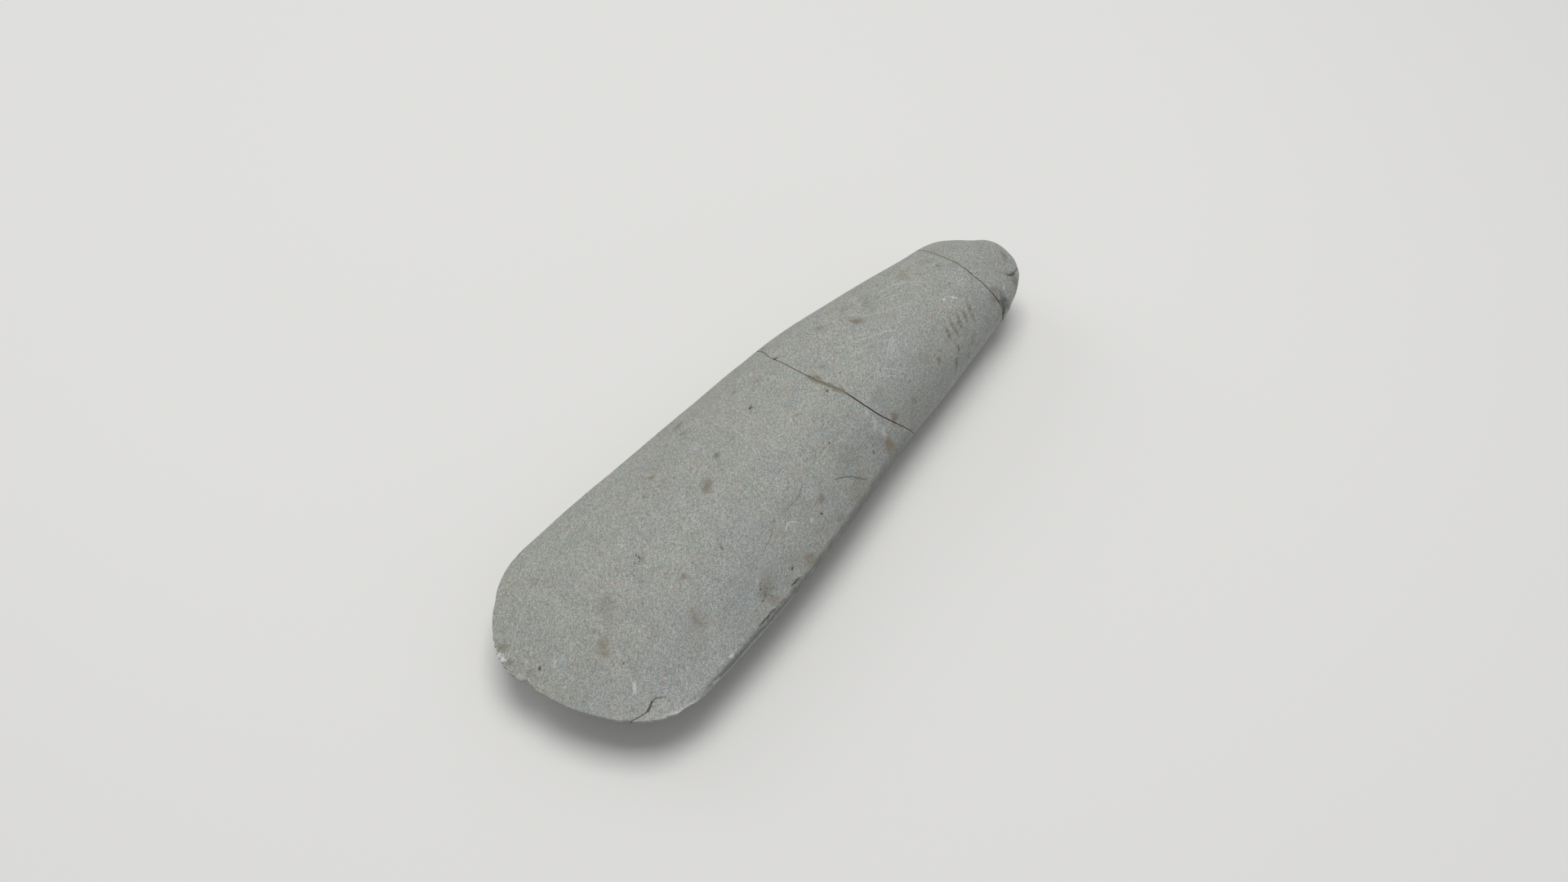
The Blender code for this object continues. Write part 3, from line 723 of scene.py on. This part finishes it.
def block(start, end, shares, columns, levels, upper, lower):
    """The bent block of points, indexed by station, column and level."""
    places = -np.cos(np.linspace(0, np.pi, columns + 1))
    share, across = np.meshgrid(shares, places, indexing="ij")
    top_y, top_z = settled(start, end, share, across, upper, 1)
    low_y, low_z = settled(start, end, share, across, lower, -1)
    points = np.empty(share.shape + (levels + 1, 3))
    for level in range(levels + 1):
        up = level / levels
        y = low_y + (top_y - low_y) * up
        z = low_z + (top_z - low_z) * up
        x = (1 - share) * start(across, y, z) + share * end(across, y, z)
        points[:, :, level] = np.stack((x, y, z), axis=-1)
    return points


def home_offset():
    """How far the form is moved so that it fills the frame's box."""
    shares = np.linspace(0, 1, PLAIN_STATIONS + 1)
    plain = block(whole_edge_spot, butt_spot, shares, PLAIN_COLUMNS, 1, half_height, fine_lower)
    low, high = plain.min(axis=(0, 1, 2)), plain.max(axis=(0, 1, 2))
    offset = np.array((CAD_LOW + CAD_HIGH) / 2) - (low + high) / 2
    offset[2] = CAD_LOW.z - low[2]
    return offset


HOME = home_offset()


def fine_ends(name):
    """Where a fragment starts and ends."""
    return {
        "blade_fragment": (fine_edge_spot, broken_face(BLADE_CRACK, -1)),
        "middle_fragment": (broken_face(BLADE_CRACK, 1), broken_face(BUTT_CRACK, -1)),
        "butt_fragment": (broken_face(BUTT_CRACK, 1), butt_spot),
    }[name]


def fine_shares(name):
    """Stations along a fragment, closer together at its two ends."""
    steps = np.linspace(0, 1, STATIONS[name] + 1)
    return steps - 0.5 * np.sin(2 * np.pi * steps) / (2 * np.pi)


def sheet(grid, flipped):
    """A grid of point numbers as quads."""
    corners = (grid[:-1, :-1], grid[:-1, 1:], grid[1:, 1:], grid[1:, :-1])
    quads = np.stack(corners[::-1] if flipped else corners, axis=-1)
    return quads.reshape(-1, 4).tolist()


def coarse_sheet(grid):
    """The same with faces twice as long and wide, which still use every point of the sheet's border."""
    last_row, last_column = grid.shape[0] - 1, grid.shape[1] - 1
    faces = []
    for i in range(0, last_row, 2):
        for j in range(0, last_column, 2):
            ring = [grid[i, j], grid[i, j + 1] if i == 0 else -1,
                    grid[i, j + 2], grid[i + 1, j + 2] if j + 2 == last_column else -1,
                    grid[i + 2, j + 2], grid[i + 2, j + 1] if i + 2 == last_row else -1,
                    grid[i + 2, j], grid[i + 1, j] if j == 0 else -1]
            faces.append([int(number) for number in ring if number >= 0])
    return faces


def skinned(points):
    """The points on the outside of a block, and faces that face out. The plainer lower face is coarser."""
    numbers = np.arange(points[..., 0].size).reshape(points.shape[:3])
    lower = numbers[:, :, 0]
    faces = coarse_sheet(lower) if len(lower) > 2 else sheet(lower, False)
    faces += sheet(numbers[:, :, -1], True)
    faces += sheet(numbers[:, 0, :], True) + sheet(numbers[:, -1, :], False)
    faces += sheet(numbers[0], True) + sheet(numbers[-1], False)
    used = np.unique(np.fromiter((number for face in faces for number in face), int))
    compact = np.zeros(numbers.size, int)
    compact[used] = np.arange(len(used))
    compact = compact.tolist()
    return points.reshape(-1, 3)[used], [[compact[number] for number in face] for face in faces]


def closed_piece(name, corners, faces, material, layers):
    """A closed mesh object, moved to the frame's place, with its painted layers."""
    inside = np.clip(corners + HOME, np.array(CAD_LOW), np.array(CAD_HIGH))
    mesh = bpy.data.meshes.new(name)
    mesh.from_pydata(inside.tolist(), [], faces)
    mesh.update()
    mesh.shade_smooth()
    mesh.set_sharp_from_angle(angle=SHARP_ANGLE)
    mesh.materials.append(material)
    for layer, values in layers.items():
        attribute = mesh.attributes.new(layer, "FLOAT_VECTOR", "POINT")
        attribute.data.foreach_set("vector", np.stack(values, axis=-1).astype(np.float32).ravel())
    piece = bpy.data.objects.new(name, mesh)
    bpy.context.scene.collection.objects.link(piece)
    return piece


def recess_share(x, y, z):
    """1 in the middle of the chipped hollow beside the butt's crack, 0 outside it."""
    along = (x / MM - RECESS_PLACE[0] - RECESS_LEAN * (z / MM - RECESS_PLACE[1])) / RECESS_SIZE[0]
    up = (z / MM - RECESS_PLACE[1]) / RECESS_SIZE[1]
    uneven = 1 + 0.35 * waves(x, z, 1.1 * MM, 71)
    return np.where(y < RECESS_SIDE * MM, np.clip(1 - (along**2 + up**2) * uneven, 0, 1), 0)


def butt_shaped(corners):
    """The butt fragment's near side, proud of the crack and chipped."""
    x, y, z = corners.T
    shift = -PROUD * smooth_step(-y / MM, *PROUD_SIDE) * np.exp(-((x / MM - PROUD_PLACE) / PROUD_REACH)**2)
    hollow = RECESS_DEPTH * recess_share(x, y, z)**0.6
    return np.stack((x, y + (shift + hollow) * MM, z - 0.3 * hollow * MM * np.sign(z)), axis=-1)


def painted_marks(x, y, marks):
    """The strongest of several soft, ragged marks at each point, stains and painted shade alike."""
    bent_x = x + swells(x, y, STAIN_SWELLS, 81) * MM
    bent_y = y + swells(x, y, STAIN_SWELLS, 83) * MM
    total = x * 0
    for *oval, strength in marks:
        away = oval_distance(bent_x, bent_y, *oval)
        total = np.maximum(total, strength * (1 - smooth_step(away, 0.3, 1.5)))
    return total * (1.1 + 0.3 * waves(x, y, 1.0 * MM, 85))


def side_shade(x, y, z):
    """Dark streaky patches on the near side by the butt."""
    total = x * 0
    for along, across, up, half_length, half_width, half_tall, strength in SIDE_MARKS:
        away = np.sqrt(((x / MM - along) / half_length)**2 + ((y / MM - across) / half_width)**2
                       + ((z / MM - up) / half_tall)**2)
        total = np.maximum(total, strength * (1 - smooth_step(away, 0.3, 1.4)))
    return total * (0.65 + 0.5 * waves(x, z, 0.7 * MM, 86))


def painted_rim_shade(x, away, rim):
    """Painted shade on the face at a distance in from its outline."""
    strength, reach, stops = rim
    return strength * stretch(x, stops) * np.exp(-(away / reach)**2)


def side_painted_shade(x, y, z):
    """Painted shade: the near side darker below its arris, and the face darker beside both sides."""
    near_away = (y - width_at(x, x * 0 - 1)) / MM
    far_away = (width_at(x, x * 0 + 1) - y) / MM
    foot = through(NEAR_SIDE_SHADE_FOOT, x / MM) + 0.25 * waves(x, x * 0, 3.0 * MM, 87)
    share = smooth_step(z / MM - foot, -0.35, 0.35) * np.exp(-(near_away / NEAR_SIDE_SHADE_REACH)**2)
    band = through(NEAR_SIDE_SHADE, x / MM) * share * (0.9 + 0.25 * waves(x, z, 1.2 * MM, 88))
    # Painted shade on the upper face beside the near side
    near_rim_shade = painted_rim_shade(x, near_away, NEAR_RIM_SHADE) * smooth_step(z / MM, -0.5, 0.5)
    return np.maximum(np.maximum(band, near_rim_shade), painted_rim_shade(x, far_away, FAR_RIM_SHADE))


def olive_fill(x, y, z):
    """The olive fill beside the blade's crack where its lips are chipped."""
    away = np.abs(x - broken_face(BLADE_CRACK, 0)(0, y, z)) / MM
    width = OLIVE_WIDTH * (1 + 0.5 * waves(y, x, 0.9 * MM, 90))
    return OLIVE_STRENGTH * stretch(y, OLIVE_STRETCH) * (1 - smooth_step(away / width, 0.7, 1.3))


def dot_layer(x, y, marks):
    """The place of each point inside the nearest oval, and how strong that oval is where it is close."""
    nearest = np.full(x.shape, FAR_OFF)
    one, other, strong = nearest.copy(), nearest.copy(), x * 0
    for *oval, strength in marks:
        along, across = oval_place(x, y, *oval)
        ratio = np.hypot(along, across)
        closer = ratio < nearest
        nearest = np.where(closer, ratio, nearest)
        one, other = np.where(closer, along, one), np.where(closer, across, other)
        close = np.hypot(x / MM - oval[0], y / MM - oval[1]) < 1.2 * oval[2] + LAYER_REACH
        strong = np.where(closer, strength * close, strong)
    return one, other, strong


def line_layer(x, y, lines):
    """The signed distance of each point from the nearest line, its half width and its strength."""
    nearest = np.full(x.shape, FAR_OFF)
    signed, width, strong = nearest.copy(), np.ones(x.shape), x * 0
    for places, half_width, strength in lines:
        for start, end in zip(places, places[1:]):
            beside, distance = from_segment(x, y, start, end)
            closer = distance < nearest
            nearest = np.where(closer, distance, nearest)
            signed, width = np.where(closer, beside, signed), np.where(closer, half_width, width)
            held = strength * (1 - smooth_step(distance, LAYER_REACH, 2 * LAYER_REACH))
            strong = np.where(closer, held, strong)
    return signed, width, strong


def wear_layer(x, y, z, upper, name):
    """How bruised the breaks' lips are, how chipped the edge is and how dark the butt's hollow is painted."""
    bruised, chipped, darkened = x * 0, x * 0, x * 0
    for crack, chips, side in LIPS[name]:
        pale_side = 1.0 if side < 0 else 0.5
        worn = lip_wear(x, y, z, crack, chips, side)
        bruised = np.maximum(bruised, pale_side * np.clip(worn / FULL_LIP_BRUISE, 0, 1) * upper)
    if name == "butt_fragment":
        # The chipped hollow beside the butt's crack, painted dark
        darkened = np.clip(recess_share(x, y, z) * 3, 0, 1) * (0.6 + 0.4 * waves(x, z, 0.9 * MM, 89))
    if name == "blade_fragment":
        across = np.clip(y / (0.5 * BLADE_WIDTH), -1, 1)
        deep = np.clip(fine_chips(across), 0, None) / MM
        behind = np.clip(x - fine_edge_spot(across, y, z), 0, None) / MM
        rim = np.clip(1 - behind / (CHIP_RIM + CHIP_RIM_GROWTH * deep), 0, 1)
        chipped = rim * np.clip((deep - CHIP_RIM_START) / CHIP_RIM_FULL, 0, 1)
    return bruised, chipped, np.clip(darkened, 0, 1)


def stone_layers(corners, name):
    """The painted layers of a fragment's skin, three numbers a point each."""
    x, y, z = corners.T
    upper = smooth_step(z / MM, -0.6, 0.6)
    # Painted shade on the near side facet and beside the outlines, with the grey marks, which are partly
    # painted shade
    shade = np.maximum(painted_marks(x, y, SHADE_AND_GREY_STAIN_MARKS) * upper, side_painted_shade(x, y, z))
    shade = np.maximum(shade, side_shade(x, y, z))
    brown = np.maximum(painted_marks(x, y, BROWN_MARKS), olive_fill(x, y, z)) * upper
    orange = painted_marks(x, y, ORANGE_MARKS) * upper
    return {"stains_and_shade": [np.clip(stain, 0, 1) for stain in (brown, orange, shade)],
            "wear": wear_layer(x, y, z, upper, name),
            "pits": dot_layer(x, y, DARK_MARKS), "bruises": dot_layer(x, y, PALE_MARKS),
            "cracks": line_layer(x, y, CRACK_LINES), "scratches": line_layer(x, y, SCRATCH_LINES)}


class Shader:
    """A material's nodes, added one at a time. Places are in millimetres, and a bump's distance in metres."""

    def __init__(self, name):
        self.material = bpy.data.materials.new(name)
        self.material.use_nodes = True
        self.nodes = self.material.node_tree.nodes
        self.links = self.material.node_tree.links
        self.surface = self.nodes["Principled BSDF"]

    def add(self, kind, inputs=None, **settings):
        node = self.nodes.new(kind)
        for name, value in settings.items():
            setattr(node, name, value)
        for name, value in (inputs or {}).items():
            if isinstance(value, bpy.types.NodeSocket):
                self.links.new(value, node.inputs[name])
            else:
                node.inputs[name].default_value = value
        return node

    def math(self, operation, first, second=0.0, clamp=False):
        node = self.add("ShaderNodeMath", {0: first, 1: second}, operation=operation, use_clamp=clamp)
        return node.outputs[0]

    def times(self, first, second, clamp=False):
        return self.math("MULTIPLY", first, second, clamp)

    def vector_math(self, operation, first, second=(0, 0, 0)):
        return self.add("ShaderNodeVectorMath", {0: first, 1: second}, operation=operation).outputs

    def mix(self, factor, first, second, blend="MIX"):
        inputs = {0: factor, 6: first, 7: second}
        return self.add("ShaderNodeMix", inputs, data_type="RGBA", blend_type=blend).outputs[2]

    def coated(self, colour, coats):
        """The colour under several coats, each a share and a colour."""
        for share, coat in coats:
            colour = self.mix(share, colour, coat)
        return colour

    def span(self, value, low, high, bottom=0.0, top=1.0):
        """The value, smoothly from bottom at low to top at high."""
        inputs = {"Value": value, "From Min": low, "From Max": high, "To Min": bottom, "To Max": top}
        return self.add("ShaderNodeMapRange", inputs, interpolation_type="SMOOTHSTEP").outputs["Result"]

    def noise(self, vector, scale, detail=2.0, roughness=0.5, distortion=0.0, output="Fac"):
        node = self.add("ShaderNodeTexNoise", {"Vector": vector, "Scale": scale, "Detail": detail,
                                               "Roughness": roughness, "Distortion": distortion})
        return node.outputs[output]

    def place(self):
        """The place on the object, in millimetres."""
        metres = self.add("ShaderNodeTexCoord").outputs["Object"]
        return self.vector_math("MULTIPLY", metres, (1 / MM, 1 / MM, 1 / MM))[0]

    def bent(self, vector, noise, reach):
        """The vector moved about unevenly, by up to half the reach."""
        shift = self.vector_math("SUBTRACT", self.noise(vector, *noise, output="Color"), (0.5, 0.5, 0.5))[0]
        return self.vector_math("ADD", vector, self.vector_math("MULTIPLY", shift, reach)[0])[0]

    def placed(self, vector, middle, turn, size):
        """The vector measured from a middle point, turned and divided by a size."""
        node = self.add("ShaderNodeMapping", {"Vector": vector, "Location": middle, "Rotation": (0, 0, turn),
                                              "Scale": size}, vector_type="TEXTURE")
        return node.outputs[0]

    def patch(self, vector, along, across, half_length, half_width, turn=0.0, soft=0.5):
        """A soft-edged oval over the plan, 1 inside and 0 outside."""
        centre = (along + HOME[0] / MM, across + HOME[1] / MM, 0.0)
        local = self.placed(vector, centre, math.radians(turn), (half_length, half_width, FAR_OFF))
        return self.span(self.vector_math("LENGTH", local)["Value"], 1.0 + soft, 1.0 - soft)

    def strongest(self, shares):
        total = shares[0]
        for share in shares[1:]:
            total = self.math("MAXIMUM", total, share)
        return total

    def specks(self, vector, scale, distances, none_shares):
        """Scattered specks, for each share of the cells that have none."""
        cells = self.add("ShaderNodeTexVoronoi", {"Vector": vector, "Scale": scale, "Randomness": 1.0})
        chosen = self.add("ShaderNodeSeparateColor", {0: cells.outputs["Color"]}).outputs
        speck = self.span(cells.outputs["Distance"], *distances)
        return [self.times(speck, self.math("GREATER_THAN", chosen[number], none))
                for number, none in enumerate(none_shares)]

    def painted(self, layer):
        """The three numbers of a painted layer."""
        vector = self.add("ShaderNodeAttribute", attribute_name=layer).outputs["Vector"]
        return self.add("ShaderNodeSeparateXYZ", {0: vector}).outputs

    def painted_lines(self, layer, ragged):
        """The lines of a layer that holds the distance from a line, its half width and its strength."""
        distance, half_width, strength = self.painted(layer)
        away = self.times(self.math("DIVIDE", self.math("ABSOLUTE", distance), half_width), ragged)
        return self.times(self.span(away, 1.6, 0.5), strength)

    def painted_dots(self, layer, ragged):
        """The dots of a layer that holds the place inside the nearest dot and its strength."""
        one, other, strength = self.painted(layer)
        away = self.math("ADD", self.times(one, one), self.times(other, other))
        away = self.times(self.math("SQRT", away), ragged)
        return self.times(self.span(away, 1.5, 0.5), strength)

    def bump(self, height, strength, distance):
        node = self.add("ShaderNodeBump", {"Height": height, "Strength": strength, "Distance": distance})
        self.links.new(node.outputs["Normal"], self.surface.inputs["Normal"])


def scratch_fields(shader, vector):
    """Faint fine curved lines in several patches, each patch with its own direction."""
    curved = shader.bent(vector, SCRATCH_BEND_NOISE, SCRATCH_BEND)
    fields = []
    for number, (along, across, half_length, half_width, turn, strength) in enumerate(SCRATCH_SETS):
        area = shader.patch(vector, along, across, half_length, half_width, 0.0, SCRATCH_EDGE)
        local = shader.placed(curved, (number * SCRATCH_SPACING, 0, 0), math.radians(turn), SCRATCH_SIZE)
        lines = shader.span(shader.noise(local, *SCRATCH_NOISE), *SCRATCH_SPAN)
        fields.append(shader.times(lines, shader.times(area, strength)))
    return shader.strongest(fields)


def ink_strokes(shader, vector):
    """A row of short worn strokes of brown ink."""
    direction = math.radians(INK_TURN)
    strokes = []
    for number in range(INK_COUNT):
        along = INK_START[0] + number * INK_PITCH * math.cos(direction)
        across = INK_START[1] + number * INK_PITCH * math.sin(direction)
        slant = INK_SLANT + INK_SLANT_STEP * (number % 2)
        length = INK_LENGTH * (0.85 + 0.15 * ((number * 2) % 3))
        strokes.append(shader.patch(vector, along, across, length, INK_WIDTH, slant, INK_EDGE))
    return shader.times(shader.strongest(strokes), shader.span(shader.noise(vector, *INK_NOISE), *INK_SPAN))


def stone_ground(shader, vector, across, grain, fine):
    """The stone's own colour: cooler and warmer tones under the grain of the grinding."""
    broad = shader.span(shader.noise(vector, *BROAD_NOISE), *BROAD_SPAN)
    broad = shader.times(shader.math("ADD", broad, shader.span(across, *DRIFT_SPAN)), 0.5)
    level = shader.times(shader.span(grain, *GRAIN_SPAN), shader.span(fine, *FINE_SPAN))
    level = shader.times(level, shader.span(shader.noise(vector, *CLOUD_NOISE), *CLOUD_SPAN))
    grey = shader.add("ShaderNodeCombineColor", {0: level, 1: level, 2: level}).outputs[0]
    colour = shader.mix(1.0, shader.mix(broad, COOL_STONE, WARM_STONE), grey, "MULTIPLY")
    tinge = shader.span(shader.noise(vector, *TINGE_NOISE), *TINGE_SPAN)
    blotch = shader.span(shader.noise(vector, *BLOTCH_NOISE), *BLOTCH_SPAN)
    return shader.coated(colour, ((TINGE_SHARE, shader.mix(tinge, COOL_TINGE, WARM_TINGE)), (blotch, BLOTCH)))


def stone_material():
    """Grey-green polished stone: mottled, speckled, scratched and stained, with painted shade on its face and
    near side.
    """
    shader = Shader("polished_stone")
    vector = shader.place()
    _, across, height = shader.add("ShaderNodeSeparateXYZ", {0: vector}).outputs
    upper = shader.span(height, *UPPER_SPAN)
    uneven = shader.bent(vector, WOBBLE_NOISE, WOBBLE)
    grain = shader.noise(shader.placed(vector, (0, 0, 0), GROUND_TURN, GROUND_SIZE), *GRAIN_NOISE)
    fine = shader.noise(vector, *FINE_NOISE)
    colour = stone_ground(shader, vector, across, grain, fine)

    dark_speck, pale_speck = shader.specks(uneven, SPECK_SCALE, SPECK_SPAN, (NO_DARK_SPECK, NO_PALE_SPECK))
    under_spot, = shader.specks(uneven, UNDER_SPOT_SCALE, UNDER_SPOT_SPAN, (NO_UNDER_SPOT,))
    under_spot = shader.times(under_spot, shader.math("SUBTRACT", 1.0, upper))
    fields = scratch_fields(shader, vector)
    scratches = shader.times(shader.painted_lines("scratches", 1.0), upper)
    colour = shader.coated(colour, (
        (shader.times(dark_speck, DARK_SPECK_COVER), DARK_SPECK),
        (shader.times(pale_speck, PALE_SPECK_COVER), PALE_SPECK),
        (shader.times(under_spot, UNDER_SPOT_COVER), UNDER_SPOT),
        (shader.times(fields, FAINT_SCRATCH_COVER), FAINT_SCRATCH), (scratches, SCRATCH)))

    brown, orange, shade = shader.painted("stains_and_shade")
    # The third wear channel darkens the chipped hollow beside the butt's crack
    lips, chips, recess_dark = shader.painted("wear")
    patchy = shader.span(shader.noise(vector, *PATCHY_NOISE), *PATCHY_SPAN)
    # The shade channel is painted shade and grey stains; brown and orange are stains
    colour = shader.coated(colour, (
        (shader.times(shade, patchy, True), GREY_STAIN_AND_PAINTED_SHADE), (shader.times(brown, patchy, True), BROWN_STAIN),
        (shader.times(orange, patchy, True), ORANGE_STAIN),
        (shader.times(lips, LIP_BRUISE_COVER), LIP_BRUISE),
        (shader.times(chips, CHIP_BRUISE_COVER), CHIP_BRUISE),
        (shader.times(recess_dark, RECESS_DARK_COVER), RECESS_DARK)))

    ink = shader.times(ink_strokes(shader, uneven), upper)
    ragged = shader.span(shader.noise(vector, *RAGGED_NOISE), *RAGGED_SPAN)
    dark = shader.strongest((shader.painted_dots("pits", ragged), shader.painted_lines("cracks", ragged)))
    pale = shader.painted_dots("bruises", ragged)
    colour = shader.coated(colour, (
        (shader.times(ink, INK_COVER), INK), (shader.times(dark, upper), PIT),
        (shader.times(pale, upper), BRUISE)))
    shader.links.new(colour, shader.surface.inputs["Base Color"])

    rough = shader.span(shader.noise(vector, *DULL_NOISE), *DULL_SPAN)
    shader.links.new(rough, shader.surface.inputs["Roughness"])
    shader.surface.inputs["Specular IOR Level"].default_value = 0.35
    bumps = shader.math("ADD", shader.times(grain, 0.5), shader.times(fine, 0.35))
    bumps = shader.math("SUBTRACT", bumps, shader.times(fields, 0.15))
    bumps = shader.math("SUBTRACT", bumps, shader.times(dark_speck, 0.25))
    shader.bump(bumps, *STONE_BUMP)
    return shader.material


def glue_material():
    """Old brown glue and dirt in the breaks, olive where the stone's lips are chipped wide."""
    shader = Shader("old_glue")
    vector = shader.place()
    patches = shader.span(shader.noise(vector, *GLUE_NOISE), *GLUE_SPAN)
    colour = shader.mix(patches, DARK_GLUE, BROWN_GLUE)
    olive = shader.times(shader.patch(vector, *OLIVE_PATCH), OLIVE_GLUE_COVER)
    colour = shader.mix(olive, colour, OLIVE_GLUE)
    shader.links.new(colour, shader.surface.inputs["Base Color"])
    shader.surface.inputs["Roughness"].default_value = 0.6
    shader.bump(shader.noise(vector, *GLUE_GRAIN), *GLUE_BUMP)
    return shader.material


def stone_piece(name, material):
    """One fragment with its fine relief, in place of its solid."""
    start, end = fine_ends(name)
    points = block(start, end, fine_shares(name), COLUMNS, LEVELS, fine_upper(name), fine_lower)
    corners, faces = skinned(points)
    layers = stone_layers(corners, name)
    if name == "butt_fragment":
        corners = butt_shaped(corners)
    piece = closed_piece(name + "_stone", corners, faces, material, layers)
    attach(piece, "root")
    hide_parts(name)


def glue_piece(name, crack, material):
    """The thin fill between two fragments, a little below the surface."""
    fragment_face = fine_upper(name)

    def upper(x, across):
        y = width_at(x, across)
        sunk = through(FILL_DEPTHS[name], y / MM) * (1 + 0.4 * waves(y, y * 0, 1.7 * MM, 41)) * MM
        height = fragment_face(x, across)
        return height - np.minimum(sunk, 0.3 * height)

    def lower(x, across):
        return fine_lower(x, across) + FILL_FOOT

    start, end = broken_face(crack, -FILL_SHARE), broken_face(crack, FILL_SHARE)
    points = block(start, end, np.array([0.0, 1.0]), COLUMNS, LEVELS, upper, lower)
    piece = closed_piece(name, *skinned(points), material, {})
    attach(piece, "root")


def floor():
    """A plain pale floor that runs on past the picture."""
    size = FLOOR_SIZE
    mesh = bpy.data.meshes.new("floor")
    corners = [(-size, -size, 0), (size, -size, 0), (size, size, 0), (-size, size, 0)]
    mesh.from_pydata(corners, [], [(0, 1, 2, 3)])
    shader = Shader("floor_paint")
    shader.surface.inputs["Base Color"].default_value = FLOOR_PAINT
    shader.surface.inputs["Roughness"].default_value = 0.9
    shader.surface.inputs["Specular IOR Level"].default_value = 0.2
    mesh.materials.append(shader.material)
    plane = bpy.data.objects.new("floor", mesh)
    bpy.context.scene.collection.objects.link(plane)


def softbox(name, direction, size, power, tint):
    """A square area light that faces the head from a direction."""
    data = bpy.data.lights.new(name, "AREA")
    data.shape = "SQUARE"
    data.size = size
    data.energy = power
    data.color = tint
    lamp = bpy.data.objects.new(name, data)
    way = Vector(direction).normalized()
    lamp.location = way * LIGHT_DISTANCE
    lamp.rotation_mode = "QUATERNION"
    lamp.rotation_quaternion = way.to_track_quat("Z", "Y")
    bpy.context.scene.collection.objects.link(lamp)


def studio():
    """Plain soft light from nearly overhead, with weak fills along the far and the near side."""
    for name, light in LIGHTS.items():
        softbox(name, *light)
    world = bpy.data.worlds.new("studio")
    world.use_nodes = True
    background = world.node_tree.nodes["Background"]
    background.inputs[0].default_value = WORLD_TINT
    background.inputs[1].default_value = WORLD_STRENGTH
    bpy.context.scene.world = world
    bpy.context.scene.view_settings.view_transform = "Standard"


def camera():
    """The photograph's viewing angle, from above the near side of the blade."""
    data = bpy.data.cameras.new("camera")
    data.sensor_width = SENSOR_WIDTH
    data.lens = SENSOR_WIDTH / PICTURE_SHAPE / 2 / math.tan(math.radians(CAMERA_HEIGHT_ANGLE) / 2)
    data.clip_start = 0.01
    data.clip_end = 20.0
    turn, rise = math.radians(CAMERA_AZIMUTH), math.radians(CAMERA_ELEVATION)
    back = Vector((math.sin(turn) * math.cos(rise), -math.cos(turn) * math.cos(rise), math.sin(rise)))
    eye = bpy.data.objects.new("camera", data)
    eye.location = Vector(CAMERA_TARGET) + back * CAMERA_DISTANCE
    eye.rotation_mode = "QUATERNION"
    eye.rotation_quaternion = (-back).to_track_quat("-Z", "Y")
    bpy.context.scene.collection.objects.link(eye)
    bpy.context.scene.camera = eye


stone = stone_material()
glue = glue_material()
for fragment_name in STATIONS:
    stone_piece(fragment_name, stone)
glue_piece("blade_break_glue", BLADE_CRACK, glue)
glue_piece("butt_break_glue", BUTT_CRACK, glue)
floor()
studio()
camera()
